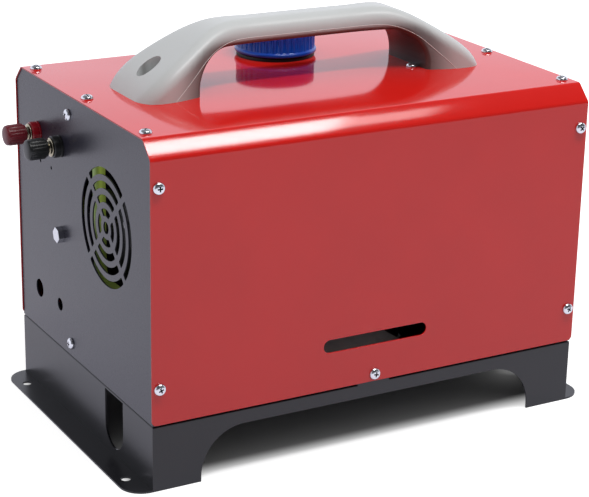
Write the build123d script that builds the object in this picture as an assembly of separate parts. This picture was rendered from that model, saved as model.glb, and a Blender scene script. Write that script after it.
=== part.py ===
from build123d import *
import math
import os

# Diesel air heater in a carrying case. Millimetres. X runs along the case, the front faces -Y, Z is up.
# The origin is on the floor, in the middle of the four bolt holes in the foot flanges.

# ---- case ----
case_length = 400.0
case_depth = 271.0
case_height = 283.0
cover_sheet = 1.2
chamfer_leg = 13.3
bend_radius = 3.0
cover_corner = 4.0
cover_gap = 0.6
cover_x = case_length / 2
cover_y = case_depth / 2
inner_y = cover_y - cover_sheet
inner_top = case_height - cover_sheet
slot_length = 97.0
slot_height = 11.0
slot_rise = 39.5

# ---- base tray ----
base_height = 55.0
base_sheet = 1.5
base_inset = 1.0
flange_width = 20.0
flange_corner = 19.0
bolt_hole = 8.0
bolt_from_wall = 10.0
bolt_inset_y = 30.0
arch_leg = 43.0
arch_beam = 12.0
arch_radius = 38.0
notch_offset = -10.5
notch_width = 35.0
notch_bottom = 7.0
tab_width = 30.0
tab_height = 20.0

# ---- end panels ----
panel_sheet = 1.2
panel_flange = 14.0
cable_hole = 16.0
cable_inset = 41.5
cable_rise = 38.5
wire_hole = 11.0
wire_inset = 87.0
wire_rise = 39.0
pin_hole = 3.0
pin_drop = 24.0
pin_offsets = (4.0, 27.5)
grille_radius = 48.5
grille_slot = 6.0
grille_pitch = 11.0
grille_rings = 4
grille_hub_hole = 10.0
grille_spoke = 5.0
slot_round = 1.4

# ---- screws ----
screw_shank = 4.8
screw_hole = 5.0
screw_head = 10.0
screw_head_height = 3.2
screw_length = 7.5
front_screw_x = cover_x - 6.8
front_screw_zs = (case_height - 35.2, base_height + 31.6)
middle_screw_z = base_height + 8.0
top_screw_x = cover_x - 8.8
top_screw_ys = (26.5 - cover_y, 1.0, cover_y - 26.5)
brace_screw_x = 101.5
brace_screw_y = -17.0
panel_screw_low = (25.0, base_height + 12.0)
panel_screw_high = (22.0, case_height - 17.4)
panel_screw_edge = 9.0

# ---- carrying handle ----
handle_rise = 54.0
handle_grip_thick = 19.4
handle_top = case_height + handle_rise
handle_gap_top = handle_top - handle_grip_thick
handle_foot_inner = 107.0
handle_arch_radius = 30.0
handle_sink = 21.0
grip_half = 17.5
grip_corner = 13.0
# Stations along one side of the handle: x, half width, share of the rise and shoulder radius.
handle_stations = (
    (30.0, grip_half, 1.0, grip_corner),
    (52.0, 17.8, 1.0, grip_corner),
    (66.0, 19.2, 1.0, 13.0),
    (80.0, 22.2, 0.972, 13.0),
    (94.0, 27.0, 0.885, 13.0),
    (108.0, 32.4, 0.750, 13.0),
    (122.0, 37.0, 0.595, 13.0),
    (136.0, 39.8, 0.425, 12.0),
    (147.0, 39.6, 0.275, 12.0),
    (155.0, 36.6, 0.135, 11.0),
    (161.0, 31.0, 0.0, 10.0),
    (165.0, 26.0, -0.10, 9.0),
)
handle_wall = 3.5
handle_under_edge = 5.0
parting_rise = 5.7
parting_half = 87.5
parting_foot = 156.0
parting_radius = 64.0
recess_width = 17.8
recess_inner = 128.2
recess_outer = 147.8
recess_floor = case_height + 8.0
handle_screw_x = 138.0
handle_screw_shank = 6.0
handle_screw_head = 9.6
handle_screw_length = 16.0

# ---- handle brace ----
brace_sheet = 1.8
brace_front = -26.0
brace_back = 32.0
brace_lip = 14.0
brace_tab_width = 24.0

# ---- fuel tank, neck and cap ----
tank_half = cover_x - 50.0
tank_gap = 12.5
tank_back = cover_y - 9.0
tank_top = case_height - 25.0
tank_corner = 14.0
tank_wall = 2.5
strap_sheet = 1.2
strap_width = 20.0
strap_x = tank_half - 58.0
neck_x = 18.0
neck_offset = -2.75
neck_radius = 27.0
neck_bore = 21.0
neck_top = case_height + 19.0
neck_hole = 30.0
grommet_radius = 34.0
grommet_thick = 3.0
cap_rim_radius = 35.7
cap_side_radius = 34.3
cap_rim_height = 3.2
cap_top = neck_top + 7.0
cap_gap = 0.6
cap_flutes = 36
cap_flute_depth = 0.9
cap_flute_round = 1.6
cap_roof = 3.0
liner_wall = 2.2
liner_gap = 0.4
liner_clearance = 0.1
seal_thick = 2.0

# ---- fuel line parts ----
pump_x = 25.0 - cover_x
pump_y = cover_y - 73.5
pump_radius = 14.0
pump_low = base_height + 67.0
pump_high = pump_low + 70.0
pump_bore = 5.0
barb_length = 12.0
plunger_gap = 0.05
plunger_low = pump_low + 10.0
plunger_length = 28.0
spring_wire = 0.6
spring_radius = 4.2
spring_length = 20.0
spring_turns = 6
clip_wall = 4.0
clip_height = 22.0
clip_z = pump_low + 36.7
clip_lug_x = 10.0 - cover_x
clip_bolt_y = pump_y - 21.2
clip_bolt = 6.0
clip_bolt_head = 10.0
clip_bolt_washer = 1.2
filter_x = 28.0 - cover_x
filter_y = pump_y + 46.0
filter_radius = 10.0
filter_low = base_height + 73.0
filter_high = filter_low + 40.0
hose_radius = 3.2
hose_bore = 1.9
hose_grip = 8.0
hose_drop = 36.0
hose_turn = 6.0
suction_drop = 31.0
pipe_radius = 2.5
pipe_bore = 1.2
pickup_x = 22.0 - tank_half
pickup_offset = 17.5
pickup_z = tank_top + 11.0
pickup_plug = 4.0

# ---- heater unit ----
heater_y = 85.0 - cover_y
heater_z = case_height - 91.0
casing_x0 = 32.0 - cover_x
casing_x1 = cover_x - 40.0
casing_half_y = 66.0
casing_half_z = 68.0
casing_corner = 34.0
casing_wall = 2.5
casing_mouth = 52.0
intake_half_y = 54.0
intake_half_z = 64.0
intake_corner = 14.0
intake_wall = 3.0
intake_front = casing_x0 - 19.0
fan_x0 = casing_x0 - 13.0
fan_x1 = casing_x0 + 14.0
fan_radius = 48.0
fan_hub = 22.0
fan_blades = 9
fan_blade = 1.8
fan_slant = 40.0
motor_x0 = casing_x0 + 20.0
motor_x1 = motor_x0 + 36.0
motor_radius = 26.0
shaft_radius = 3.0
shaft_gap = 0.05
volute_x1 = motor_x1 + 24.0
volute_radius = 42.0
volute_wall = 3.0
impeller_x0 = motor_x1 + 5.0
impeller_x1 = impeller_x0 + 10.0
impeller_radius = 34.0
intake_stub_x = motor_x1 + 11.0
intake_stub_radius = 11.0
exchanger_x1 = casing_x1 - 30.0
exchanger_radius = 47.0
exchanger_wall = 5.0
fin_radius = 60.0
fin_count = 24
fin_thick = 2.0
fin_x0 = volute_x1 + 50.0
exhaust_x = exchanger_x1 - 68.0
exhaust_radius = 12.0
stub_wall = 1.2
stub_reach = 18.0
burner_radius = 32.0
burner_wall = 1.5
burner_end = exchanger_x1 - 100.0
burner_flange = 2.0
plug_x = volute_x1 + 22.0
plug_radius = 4.0
boss_x0 = volute_x1 + 12.0
boss_x1 = boss_x0 + 34.0
fuel_inlet_x = volute_x1 + 13.0
fuel_inlet_z = heater_z - 6.0
fuel_nipple_inset = 6.5
foot_x0 = exhaust_x - 72.0
foot_x1 = exhaust_x + 28.0
foot_half_y = 32.0
foot_gap = 0.5
entry_gap = 1.5
stud_radius = 3.0
stud_nut = 5.0
stud_edge = 8.0
stud_length = 9.0
bracket_sheet = 2.0
bracket_x0 = casing_x0 + 18.0
bracket_x1 = casing_x1 - 34.0
bracket_half_y = 50.0
bracket_lip = 12.0
bracket_toe = 15.0
bracket_window = 0.32
skirt_top_x = foot_x0 - 20.0
skirt_low_x = exhaust_x + 9.0
pipe_end = 20.0
pipe_wall = 1.2
socket_reach = 8.0
socket_length = 20.0
pipe_clearance = 2.0
board_x0 = motor_x0 - 2.0
board_x1 = board_x0 + 55.0
board_half_y = 34.0
board_height = 14.0
boss_top = heater_z + 51.0
lead_xs = (board_x0 + 8.0, board_x0 + 22.0)
lead_z = boss_top + 6.0
outlet_radius = 37.5
outlet_wall = 2.0
outlet_end = cover_x + 28.0
outlet_flange_radius = 46.0
outlet_flange = 2.5

# ---- terminals ----
terminal_z = case_height - 48.5
terminal_ys = (cover_y - 47.0, cover_y - 94.5)
stud_post_radius = 4.0
collar_radius = 9.2
collar_length = 8.0
washer_radius = 7.9
washer_gap = 0.5
washer_length = 4.0
knob_radius = 8.7
knob_length = 18.0
knob_ridges = 24
knob_ridge_depth = 0.4
knob_ridge_round = 0.8
knob_plain = 2.5
wire_bore = 2.0
collar_sleeve = 5.0
terminal_nut = 5.0
terminal_nut_flats = 13.0
lug_thick = 1.2
stud_room = 6.5
stud_inner_end = 16.0 - cover_x
lead_radius = 2.4
lead_bend_x = 9.0 - cover_x
thread_gap = 0.1

# ---- controller on the right end ----
controller_y = cover_y - 61.5
controller_z = case_height - 68.0
controller_width = 100.0
controller_tall = 52.0
controller_depth = 12.0
controller_wall = 2.0
controller_corner = 6.0
window_width = 44.0
window_tall = 26.0
button_radius = 5.0
button_stand = 1.6
button_travel = 1.0
button_gap = 0.3
button_pitch = 19.0
button_margin = 12.0

# ---- places worked out from the sizes above ----
slot_z = base_height + slot_rise
base_x = cover_x - base_inset
base_y = inner_y
panel_x = base_x
panel_in = panel_x - panel_sheet
bolt_x = base_x + bolt_from_wall
bolt_y = cover_y - bolt_inset_y
arch_half = cover_x - arch_leg
arch_top = base_height - arch_beam
notch_y = heater_y + notch_offset
cable_at = (cover_y - cable_inset, base_height + cable_rise)
wire_at = (cover_y - wire_inset, base_height + wire_rise)
pin_z = terminal_z - pin_drop
pin_ys = [terminal_ys[0] - offset for offset in pin_offsets]
casing_low = heater_z - casing_half_z
casing_back_y = heater_y + casing_half_y
stub_bottom = casing_low - stub_reach
socket_low = stub_bottom - socket_reach
socket_top = socket_low + socket_length
fuel_nipple_y = casing_back_y - fuel_nipple_inset
collar_end = -panel_x - collar_length
washer_end = collar_end - washer_length
knob_end = washer_end - knob_length
tank_bottom = base_height + strap_sheet
tank_front = casing_back_y + tank_gap
tank_middle_y = (tank_front + tank_back) / 2
neck_y = tank_middle_y + neck_offset
pickup_y = neck_y + pickup_offset
cap_low = case_height + grommet_thick + cap_gap
cap_height = cap_top - cap_low
liner_top = cap_top - cap_roof
spring_top = plunger_low + plunger_length + spring_length
stud_low = casing_low - stud_length
button_back = panel_x + controller_depth - controller_wall - 2.6


def span_box(x, y, z):
    """Box between (low, high) pairs."""
    middle = ((x[0] + x[1]) / 2, (y[0] + y[1]) / 2, (z[0] + z[1]) / 2)
    return Pos(*middle) * Box(x[1] - x[0], y[1] - y[0], z[1] - z[0])


def rod(axis, radius, start, end, at):
    """Cylinder along an axis from start to end; at holds its other two coordinates."""
    length = end - start
    middle = (start + end) / 2
    if axis == "X":
        return Pos(middle, at[0], at[1]) * Rot(0, 90, 0) * Cylinder(radius, length)
    if axis == "Y":
        return Pos(at[0], middle, at[1]) * Rot(90, 0, 0) * Cylinder(radius, length)
    return Pos(at[0], at[1], middle) * Cylinder(radius, length)


def tube(axis, outer, inner, start, end, at):
    """Round tube from start to end."""
    return rod(axis, outer, start, end, at) - rod(axis, inner, start - 1, end + 1, at)


def outline(points, radii, plane):
    """Face inside a closed polyline with one corner radius for each point."""
    return plane * make_face(FilletPolyline(*points, radius=radii, close=True).edges())


def case_section(inset, low, x0, x1):
    """The case's chamfered cross section, drawn inset inside its skin, from x0 to x1 and up from low."""
    half = cover_y - inset
    top = case_height - inset
    leg = chamfer_leg - inset * (2 - math.sqrt(2))
    bend = bend_radius + cover_sheet - inset
    bend = max(bend, 0.6)
    right = [(half, low), (half, top - leg), (half - leg, top)]
    points = right + [(-y, z) for y, z in reversed(right)]
    face = outline(points, [0, bend, bend, bend, bend, 0], Plane.YZ.offset(x0))
    return extrude(face, x1 - x0)


def pan_screw(head, head_height, shank, length):
    """Pan-head screw standing on z = 0 with its shank downwards and a cross recess."""
    top = Pos(0, 0, head_height / 2) * Cylinder(head / 2, head_height)
    top = fillet(top.edges().group_by(Axis.Z)[-1], head_height * 0.6)
    arm = Box(head * 0.5, head * 0.11, head_height * 1.1)
    recess = arm + Rot(0, 0, 90) * arm
    return top - Pos(0, 0, head_height) * recess + Pos(0, 0, -length / 2) * Cylinder(shank / 2, length)


def hex_prism(across_flats, height):
    """Hexagonal prism standing on z = 0."""
    return extrude(RegularPolygon(across_flats / 2, 6, major_radius=False), height)


def front_screw_points():
    """X and Z of the five screws in the front of the cover, which the back repeats."""
    points = [(side * front_screw_x, z) for side in (-1, 1) for z in front_screw_zs]
    return points + [(0, middle_screw_z)]


def top_screw_points():
    """X and Y of the screws through the cover's top."""
    points = [(side * top_screw_x, y) for side in (-1, 1) for y in top_screw_ys]
    return points + [(brace_screw_x, brace_screw_y)]


def screw_holes():
    """Every screw hole through the cover and what lies under it."""
    hole = Cylinder(screw_hole / 2, 12)
    holes = []
    for x, z in front_screw_points():
        for side in (-1, 1):
            holes.append(Pos(x, side * inner_y, z) * Rot(90, 0, 0) * hole)
    for x, y in top_screw_points():
        holes.append(Pos(x, y, inner_top) * hole)
    return holes


def handle_screw_holes():
    """Holes for the two handle screws, through the foot, the cover and the brace."""
    depth = recess_floor - inner_top + 20
    hole = Cylinder(handle_screw_shank / 2 + thread_gap, depth)
    return [Pos(side * handle_screw_x, 0, recess_floor - depth / 2) * hole for side in (-1, 1)]


# ---- case ----

def outer_cover():
    """Folded red cover: front, top and back with chamfered edges, and a slot low in front and back."""
    low = base_height + cover_gap
    cover = case_section(0, low, -cover_x, cover_x)
    cover -= case_section(cover_sheet, low - 1, -cover_x - 1, cover_x + 1)
    corners = cover.edges().filter_by(Axis.Y).group_by(Axis.Z)[0]
    cover = fillet(corners, cover_corner)
    slot = extrude(Plane.XZ * SlotOverall(slot_length, slot_height), case_depth, both=True)
    neck = rod("Z", neck_hole, inner_top - 5, case_height + 5, (neck_x, neck_y))
    return cover - Pos(0, 0, slot_z) * slot - neck - screw_holes() - handle_screw_holes()


def base_tray():
    """Folded stand: top plate, arched long sides, notched ends, foot flanges, and tabs for the screws."""
    plate_under = base_height - base_sheet
    outer = span_box((-base_x, base_x), (-base_y, base_y), (0, base_height))
    outer = fillet(outer.edges().group_by(Axis.Z)[-1], 1.2)
    wall_x = base_x - base_sheet
    wall_y = base_y - base_sheet
    tray = outer - span_box((-wall_x, wall_x), (-wall_y, wall_y), (-1, plate_under))
    arch = span_box((-arch_half, arch_half), (-base_y - 1, base_y + 1), (-arch_top, arch_top))
    arch = fillet(arch.edges().filter_by(Axis.Y).group_by(Axis.Z)[-1], arch_radius)
    notch_arc = notch_bottom + notch_width / 2
    notch = rod("X", notch_width / 2, -cover_x, cover_x, (notch_y, notch_arc))
    notch += span_box((-cover_x, cover_x), (notch_y - notch_width / 2, notch_y + notch_width / 2),
                      (notch_arc, plate_under))
    tray = tray - arch - notch
    for side in (-1, 1):
        flange = span_box((wall_x, base_x + flange_width), (-base_y, base_y), (0, base_sheet))
        flange = fillet(flange.edges().filter_by(Axis.Z).group_by(Axis.X)[-1], flange_corner)
        for y in (-bolt_y, bolt_y):
            flange -= rod("Z", bolt_hole / 2, -1, base_sheet + 1, (bolt_x, y))
        tray += flange if side > 0 else mirror(flange, Plane.YZ)
        tray += span_box((-tab_width / 2, tab_width / 2), sorted((side * base_y, side * wall_y)),
                         (plate_under, base_height + tab_height))
        tab_x = panel_in - base_sheet
        tray += span_box(sorted((side * panel_in, side * tab_x)),
                         (panel_screw_low[0] - tab_width / 2, panel_screw_low[0] + tab_width / 2),
                         (plate_under, base_height + tab_height))
    tray -= rod("X", screw_hole / 2, -cover_x, cover_x, panel_screw_low)
    for x, radius in ((intake_stub_x, intake_stub_radius), (exhaust_x, exhaust_radius)):
        tray -= rod("Z", radius + pipe_clearance, plate_under - 1, base_height + 1, (x, heater_y))
    return tray - screw_holes()


def bare_end_panel():
    """Left end panel before its own holes: a sheet with a flange turned in at its front, top and back."""
    panel = case_section(cover_sheet, base_height, -panel_x, -panel_x + panel_flange)
    inside = case_section(cover_sheet + panel_sheet, base_height - 1, -panel_in, 0)
    panel = panel - inside - screw_holes()
    for point in (panel_screw_low, panel_screw_high):
        panel -= rod("X", screw_hole / 2, -cover_x, -panel_in + 2, point)
    return panel


def grille_slots():
    """Slots of the round grille: rings of arcs cut by two crossed spokes, round a middle hole."""
    outer = grille_radius
    slots = Sketch()
    for ring in range(grille_rings):
        slots += Circle(outer - ring * grille_pitch) - Circle(outer - ring * grille_pitch - grille_slot)
    for angle in (45, 135):
        slots -= Rot(0, 0, angle) * Rectangle(3 * outer, grille_spoke)
    slots = fillet(slots.vertices(), slot_round)
    slots += Circle(grille_hub_hole / 2)
    return extrude(Plane.YZ * slots, 4, both=True)


def left_end_panel():
    """Left end panel with the grille, terminal holes, pump bolt hole, cable holes and pin holes."""
    panel = bare_end_panel() - Pos(-panel_x, heater_y, heater_z) * grille_slots()
    holes = [(cable_hole / 2, *cable_at), (wire_hole / 2, *wire_at)]
    holes += [(pin_hole / 2, y, pin_z) for y in pin_ys]
    holes += [(collar_sleeve, y, terminal_z) for y in terminal_ys]
    holes += [(clip_bolt / 2 + 0.1, clip_bolt_y, clip_z)]
    for radius, y, z in holes:
        panel -= rod("X", radius, -cover_x, -panel_in + 3, (y, z))
    return panel


def right_end_panel():
    """Right end panel with the hole for the warm-air outlet."""
    panel = mirror(bare_end_panel(), Plane.YZ)
    return panel - rod("X", outlet_radius + thread_gap, panel_in - 3, cover_x, (heater_y, heater_z))


def handle_brace():
    """Folded strip under the cover's top that carries the handle, with a tab screwed to each end panel."""
    length = panel_in
    x = (-length, length)
    lip_y = (brace_back - brace_sheet, brace_back)
    strip = span_box(x, (brace_front, brace_back), (inner_top - brace_sheet, inner_top))
    strip += span_box(x, lip_y, (inner_top - brace_lip, inner_top))
    flange_room = panel_x - panel_flange
    room = inner_top - panel_sheet
    for side in (-1, 1):
        end = sorted((side * (flange_room - 1), side * (length + 1)))
        strip -= span_box(end, (brace_front - 1, brace_back + 1), (room, inner_top + 1))
        tab_x = sorted((side * (length - brace_sheet), side * length))
        tab_y = (panel_screw_high[0] - brace_tab_width / 2, panel_screw_high[0] + brace_tab_width / 2)
        strip += span_box(tab_x, tab_y, (panel_screw_high[1] - panel_screw_edge, room))
    strip -= rod("X", screw_hole / 2, -cover_x, cover_x, panel_screw_high)
    return strip - screw_holes() - handle_screw_holes()


def cover_screws():
    """Pan-head screws that hold the cover."""
    screw = pan_screw(screw_head, screw_head_height, screw_shank, screw_length)
    screws = []
    for x, z in front_screw_points():
        screws.append(Pos(x, -cover_y, z) * Rot(90, 0, 0) * screw)
        screws.append(Pos(x, cover_y, z) * Rot(-90, 0, 0) * screw)
    for x, y in top_screw_points():
        screws.append(Pos(x, y, case_height) * screw)
    return screws


def end_panel_screws():
    """Pan-head screws that hold each end panel to the base and to the handle brace."""
    screw = pan_screw(screw_head, screw_head_height, screw_shank, screw_length)
    screws = []
    for y, z in (panel_screw_low, panel_screw_high):
        screws.append(Pos(-panel_x, y, z) * Rot(0, -90, 0) * screw)
        screws.append(Pos(panel_x, y, z) * Rot(0, 90, 0) * screw)
    return screws


# ---- carrying handle ----

def handle_section(x, half, top, corner, wall):
    """Round-shouldered section across the handle at x, drawn wall inside its skin."""
    half = half - wall
    top = top - wall
    low = case_height - handle_sink
    points = [(-half, low), (-half, top), (half, top), (half, low)]
    return outline(points, [0, corner - wall, corner - wall, 0], Plane.YZ.offset(x))


def handle_loft(wall):
    """The handle's arched form without its finger gap, drawn wall inside its skin."""
    right = [(x, half, case_height + share * handle_rise, corner)
             for x, half, share, corner in handle_stations]
    left = [(-x, half, top, corner) for x, half, top, corner in reversed(right)]
    stations = left + [(0, grip_half, handle_top, grip_corner)] + right
    body = loft([handle_section(*station, wall) for station in stations])
    floor = span_box((-cover_x, cover_x), (-cover_y, cover_y), (0, case_height))
    return body - floor


def arch_region(half, top, radius, foot_half):
    """Space under an arch that reaches from the case's top up to top, right across the handle."""
    low = case_height - handle_sink
    points = [(-foot_half, low), (-half, top), (half, top), (foot_half, low)]
    return extrude(outline(points, [0, radius, radius, 0], Plane.XZ), 2 * grip_half + foot_half, both=True)


def handle_recess(side, wall, floor):
    """Obround column over one handle screw, drawn wall outside the recess and standing on floor."""
    middle = (recess_inner + recess_outer) / 2
    slot = SlotOverall(recess_outer - recess_inner + 2 * wall, recess_width + 2 * wall)
    return Pos(side * middle, 0, floor) * extrude(slot, handle_top)


def handle_blank():
    """Hollow handle before it is parted, with its under edges rounded and its two screw recesses."""
    body = handle_loft(0)
    body -= arch_region(handle_foot_inner, handle_gap_top, handle_arch_radius, handle_foot_inner)
    under = [edge for edge in body.edges()
             if abs(edge.center().Y) > grip_half / 2 and abs(edge.center().X) < handle_foot_inner + 1
             and case_height + 1 < edge.center().Z < handle_gap_top + 1]
    body = fillet(under, handle_under_edge)
    cavity = handle_loft(handle_wall)
    solid_foot = handle_foot_inner + handle_wall
    cavity -= arch_region(solid_foot, handle_gap_top + handle_wall, handle_arch_radius, solid_foot)
    for side in (-1, 1):
        cavity -= handle_recess(side, handle_wall / 2, 0)
    body -= cavity
    for side in (-1, 1):
        body -= handle_recess(side, 0, recess_floor)
    return body - handle_screw_holes()


def handle_parting():
    """Space under the parting line between the two handle shells, clear of the screw columns."""
    space = arch_region(parting_half, handle_gap_top + parting_rise, parting_radius, parting_foot)
    for side in (-1, 1):
        space -= handle_recess(side, handle_wall / 2, 0)
    return space


def handle_top_shell():
    """Upper shell of the handle: the grip's top and sides and the outer part of both feet."""
    return handle_blank() - handle_parting()


def handle_bottom_shell():
    """Lower shell of the handle, which lines the finger gap."""
    return handle_blank() & handle_parting()


def handle_screws():
    """The two screws sunk in the handle's feet."""
    screw = pan_screw(handle_screw_head, screw_head_height, handle_screw_shank, handle_screw_length)
    return [Pos(side * handle_screw_x, 0, recess_floor) * screw for side in (-1, 1)]


# ---- fuel tank, filler and cap ----

def tank_form(inset):
    """Round-edged tank form drawn inset inside its skin."""
    corner = tank_corner - inset
    x = (inset - tank_half, tank_half - inset)
    form = span_box(x, (tank_front + inset, tank_back - inset), (tank_bottom + inset, tank_top - inset))
    return fillet(form.edges(), corner)


def fuel_tank():
    """Hollow moulded tank with a filler neck."""
    neck_foot = tank_top - tank_wall
    tank = tank_form(0) + rod("Z", neck_radius, neck_foot, neck_top, (neck_x, neck_y))
    tank = tank - tank_form(tank_wall) - rod("Z", neck_bore, neck_foot - 1, neck_top + 1, (neck_x, neck_y))
    return tank - rod("Z", pickup_plug, neck_foot - 1, tank_top + 1, (pickup_x, pickup_y))


def tank_straps():
    """Two steel bands round the tank that stand on the base's plate."""
    depth = tank_back - tank_front
    height = tank_top - tank_bottom
    inside = RectangleRounded(depth, height, tank_corner)
    outside = RectangleRounded(depth + 2 * strap_sheet, height + 2 * strap_sheet, tank_corner + strap_sheet)
    band = extrude(Plane.YZ * (outside - inside), strap_width / 2, both=True)
    middle = ((tank_front + tank_back) / 2, (tank_bottom + tank_top) / 2)
    return [Pos(side * strap_x, *middle) * band for side in (-1, 1)]


def filler_grommet():
    """Rubber ring that seals the neck in the cover's top: a flange above, a groove and a lip below."""
    at = (neck_x, neck_y)
    lip_low = inner_top - grommet_thick
    ring = rod("Z", grommet_radius, case_height, case_height + grommet_thick, at)
    ring = fillet(ring.edges().group_by(Axis.Z)[-1], 1.0)
    ring += rod("Z", neck_hole, lip_low, case_height, at)
    ring += rod("Z", neck_hole + 2, lip_low, inner_top, at)
    return ring - rod("Z", neck_radius, lip_low - 1, case_height + grommet_thick + 1, at)


def fuel_cap():
    """Fluted screw cap with a wider rim."""
    at = (neck_x, neck_y)
    cap = rod("Z", cap_side_radius, cap_low, cap_top, at)
    cap = fillet(cap.edges().group_by(Axis.Z)[-1], 2.2)
    flute = Cylinder(cap_flute_round, cap_height)
    reach = cap_side_radius + cap_flute_round - cap_flute_depth
    cap -= Pos(neck_x, neck_y, cap_low + cap_height / 2) * PolarLocations(reach, cap_flutes) * flute
    rim = rod("Z", cap_rim_radius, cap_low, cap_low + cap_rim_height, at)
    cap += fillet(rim.edges(), 1.0)
    bore = neck_radius + liner_gap + liner_wall + liner_clearance
    return cap - rod("Z", bore, cap_low - 1, liner_top, at)


def cap_liner():
    """Threaded liner inside the cap."""
    at = (neck_x, neck_y)
    bore = neck_radius + liner_gap
    liner = rod("Z", bore + liner_wall, cap_low + liner_clearance, liner_top, at)
    return liner - rod("Z", bore, cap_low - 1, neck_top + seal_thick, at)


def cap_seal():
    """Flat seal on the filler neck's rim."""
    return tube("Z", neck_radius, neck_bore, neck_top, neck_top + seal_thick, (neck_x, neck_y))


def fuel_pickup():
    """Pickup on the tank's top: a flange, a side barb for the hose and a pipe down to the tank's bottom."""
    at = (pickup_x, pickup_y)
    pickup = rod("Z", 2 * pickup_plug, tank_top, tank_top + 3, at)
    pickup += rod("Z", pickup_plug, tank_top - tank_wall, pickup_z + pickup_plug, at)
    pickup += rod("Z", hose_bore, tank_bottom + 3 * tank_wall, tank_top, at)
    barb_end = pickup_x - pickup_plug - barb_length
    return pickup + rod("X", hose_bore, barb_end, pickup_x, (pickup_y, pickup_z))


# ---- fuel line ----

def fuel_filter():
    """Inline filter with a barb at each end."""
    at = (filter_x, filter_y)
    body = rod("Z", filter_radius, filter_low, filter_high, at)
    body = fillet(body.edges(), 2.5)
    for ring_z in (filter_low + 8, filter_high - 8):
        body += rod("Z", filter_radius + 1, ring_z - 1.5, ring_z + 1.5, at)
    return body + rod("Z", hose_bore, filter_low - barb_length, filter_high + barb_length, at)


def pump_body():
    """Metering pump's body, upright, with its plunger bore and a barb at each end."""
    at = (pump_x, pump_y)
    body = rod("Z", pump_radius, pump_low + 6, pump_high - 6, at)
    body = fillet(body.edges(), 2)
    body += rod("Z", pump_radius - 5, pump_low, pump_high, at)
    body += rod("Z", hose_bore, pump_low - barb_length, pump_low, at)
    body += rod("Z", pipe_bore, pump_high, pump_high + barb_length, at)
    return body - rod("Z", pump_bore, plunger_low, spring_top, at)


def pump_plunger():
    """Pump plunger with a stem that guides the spring."""
    at = (pump_x, pump_y)
    plunger = rod("Z", pump_bore - plunger_gap, plunger_low, plunger_low + plunger_length, at)
    stem_top = plunger_low + plunger_length + spring_length / 2
    return plunger + rod("Z", spring_radius - 2 * spring_wire, plunger_low, stem_top, at)


def pump_spring():
    """Coil spring from the plunger's shoulder to the bore's top: one wire wound in quarter-turn arcs."""
    rise = (spring_length - 2 * spring_wire) / (8 * spring_turns)
    points = []
    for step in range(8 * spring_turns + 1):
        angle = math.pi / 4 * step
        points.append((spring_radius * math.cos(angle), spring_radius * math.sin(angle), rise * step))
    arcs = [ThreePointArc(*points[step:step + 3]) for step in range(0, 8 * spring_turns, 2)]
    path = Curve() + arcs
    start = Plane(origin=path @ 0, z_dir=path % 0)
    coil = sweep(start * Circle(spring_wire), path=path)
    return Pos(pump_x, pump_y, plunger_low + plunger_length + spring_wire) * coil


def pump_clip():
    """Rubber clip round the pump with a lug against the end panel."""
    low = clip_z - clip_height / 2
    high = clip_z + clip_height / 2
    lug_y = (clip_bolt_y - clip_height / 3, pump_y + 6)
    clip = rod("Z", pump_radius + clip_wall, low, high, (pump_x, pump_y))
    clip += span_box((-panel_in, clip_lug_x), lug_y, (low, high))
    clip -= rod("X", clip_bolt / 2, -cover_x, pump_x, (clip_bolt_y, clip_z))
    return clip - rod("Z", pump_radius, low - 1, high + 1, (pump_x, pump_y))


def pump_bolt():
    """Hex bolt, washer and nut that hold the pump clip to the left end panel."""
    at = (clip_bolt_y, clip_z)
    head_x = -panel_x - clip_bolt_washer
    bolt = Pos(head_x, *at) * Rot(0, -90, 0) * hex_prism(clip_bolt_head, clip_bolt * 0.65)
    bolt += rod("X", clip_bolt, head_x, -panel_x, at)
    bolt += rod("X", clip_bolt / 2, head_x, clip_lug_x + clip_bolt, at)
    nut = Pos(clip_lug_x, *at) * Rot(0, 90, 0) * hex_prism(clip_bolt_head, clip_bolt * 0.8)
    return [bolt, nut - rod("X", clip_bolt / 2, clip_lug_x - 1, clip_lug_x + clip_bolt + 1, at)]


def corner_radii(points):
    """Largest arc at each corner of a route: 0.45 of its shorter run over the tangent of half the turn."""
    vectors = [Vector(*point) for point in points]
    radii = []
    for before, here, after in zip(vectors, vectors[1:], vectors[2:]):
        shorter = min((here - before).length, (after - here).length)
        turn = math.radians((here - before).get_angle(after - here))
        radii.append(0.45 * shorter / math.tan(turn / 2))
    return radii


def cord(name, points, outer, bore):
    """Round cord or hose along straight runs joined by arcs, from the first point to the last."""
    radii = corner_radii(points)
    path = FilletPolyline(*points, radius=radii)
    section = Circle(outer) - Circle(bore) if bore else Circle(outer)
    solid = sweep(Plane(origin=path @ 0, z_dir=path % 0) * section, path=path)
    ideal = math.pi * (outer ** 2 - bore ** 2) * path.length
    print(name, "radii", [round(radius, 1) for radius in radii], "length", round(path.length, 1),
          "volume over section times length", round(solid.volume / ideal, 4))
    return solid


def suction_hose():
    """Hose from the tank's pickup down to the filter."""
    start = (pickup_x - pickup_plug - barb_length + hose_grip, pickup_y, pickup_z)
    end = (filter_x, filter_y, filter_high + barb_length - hose_grip)
    bends = [(filter_x + hose_turn, pickup_y, pickup_z), (filter_x, filter_y, pickup_z - suction_drop)]
    return cord("suction_hose", [start, *bends, end], hose_radius, hose_bore)


def pump_inlet_hose():
    """Hose from the filter round to the pump's inlet."""
    start = (filter_x, filter_y, filter_low - barb_length + hose_grip)
    end = (pump_x, pump_y, pump_low - barb_length + hose_grip)
    low = [(filter_x, filter_y, filter_low - hose_drop), (pump_x, pump_y, pump_low - hose_drop)]
    return cord("pump_inlet_hose", [start, *low, end], hose_radius, hose_bore)


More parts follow.
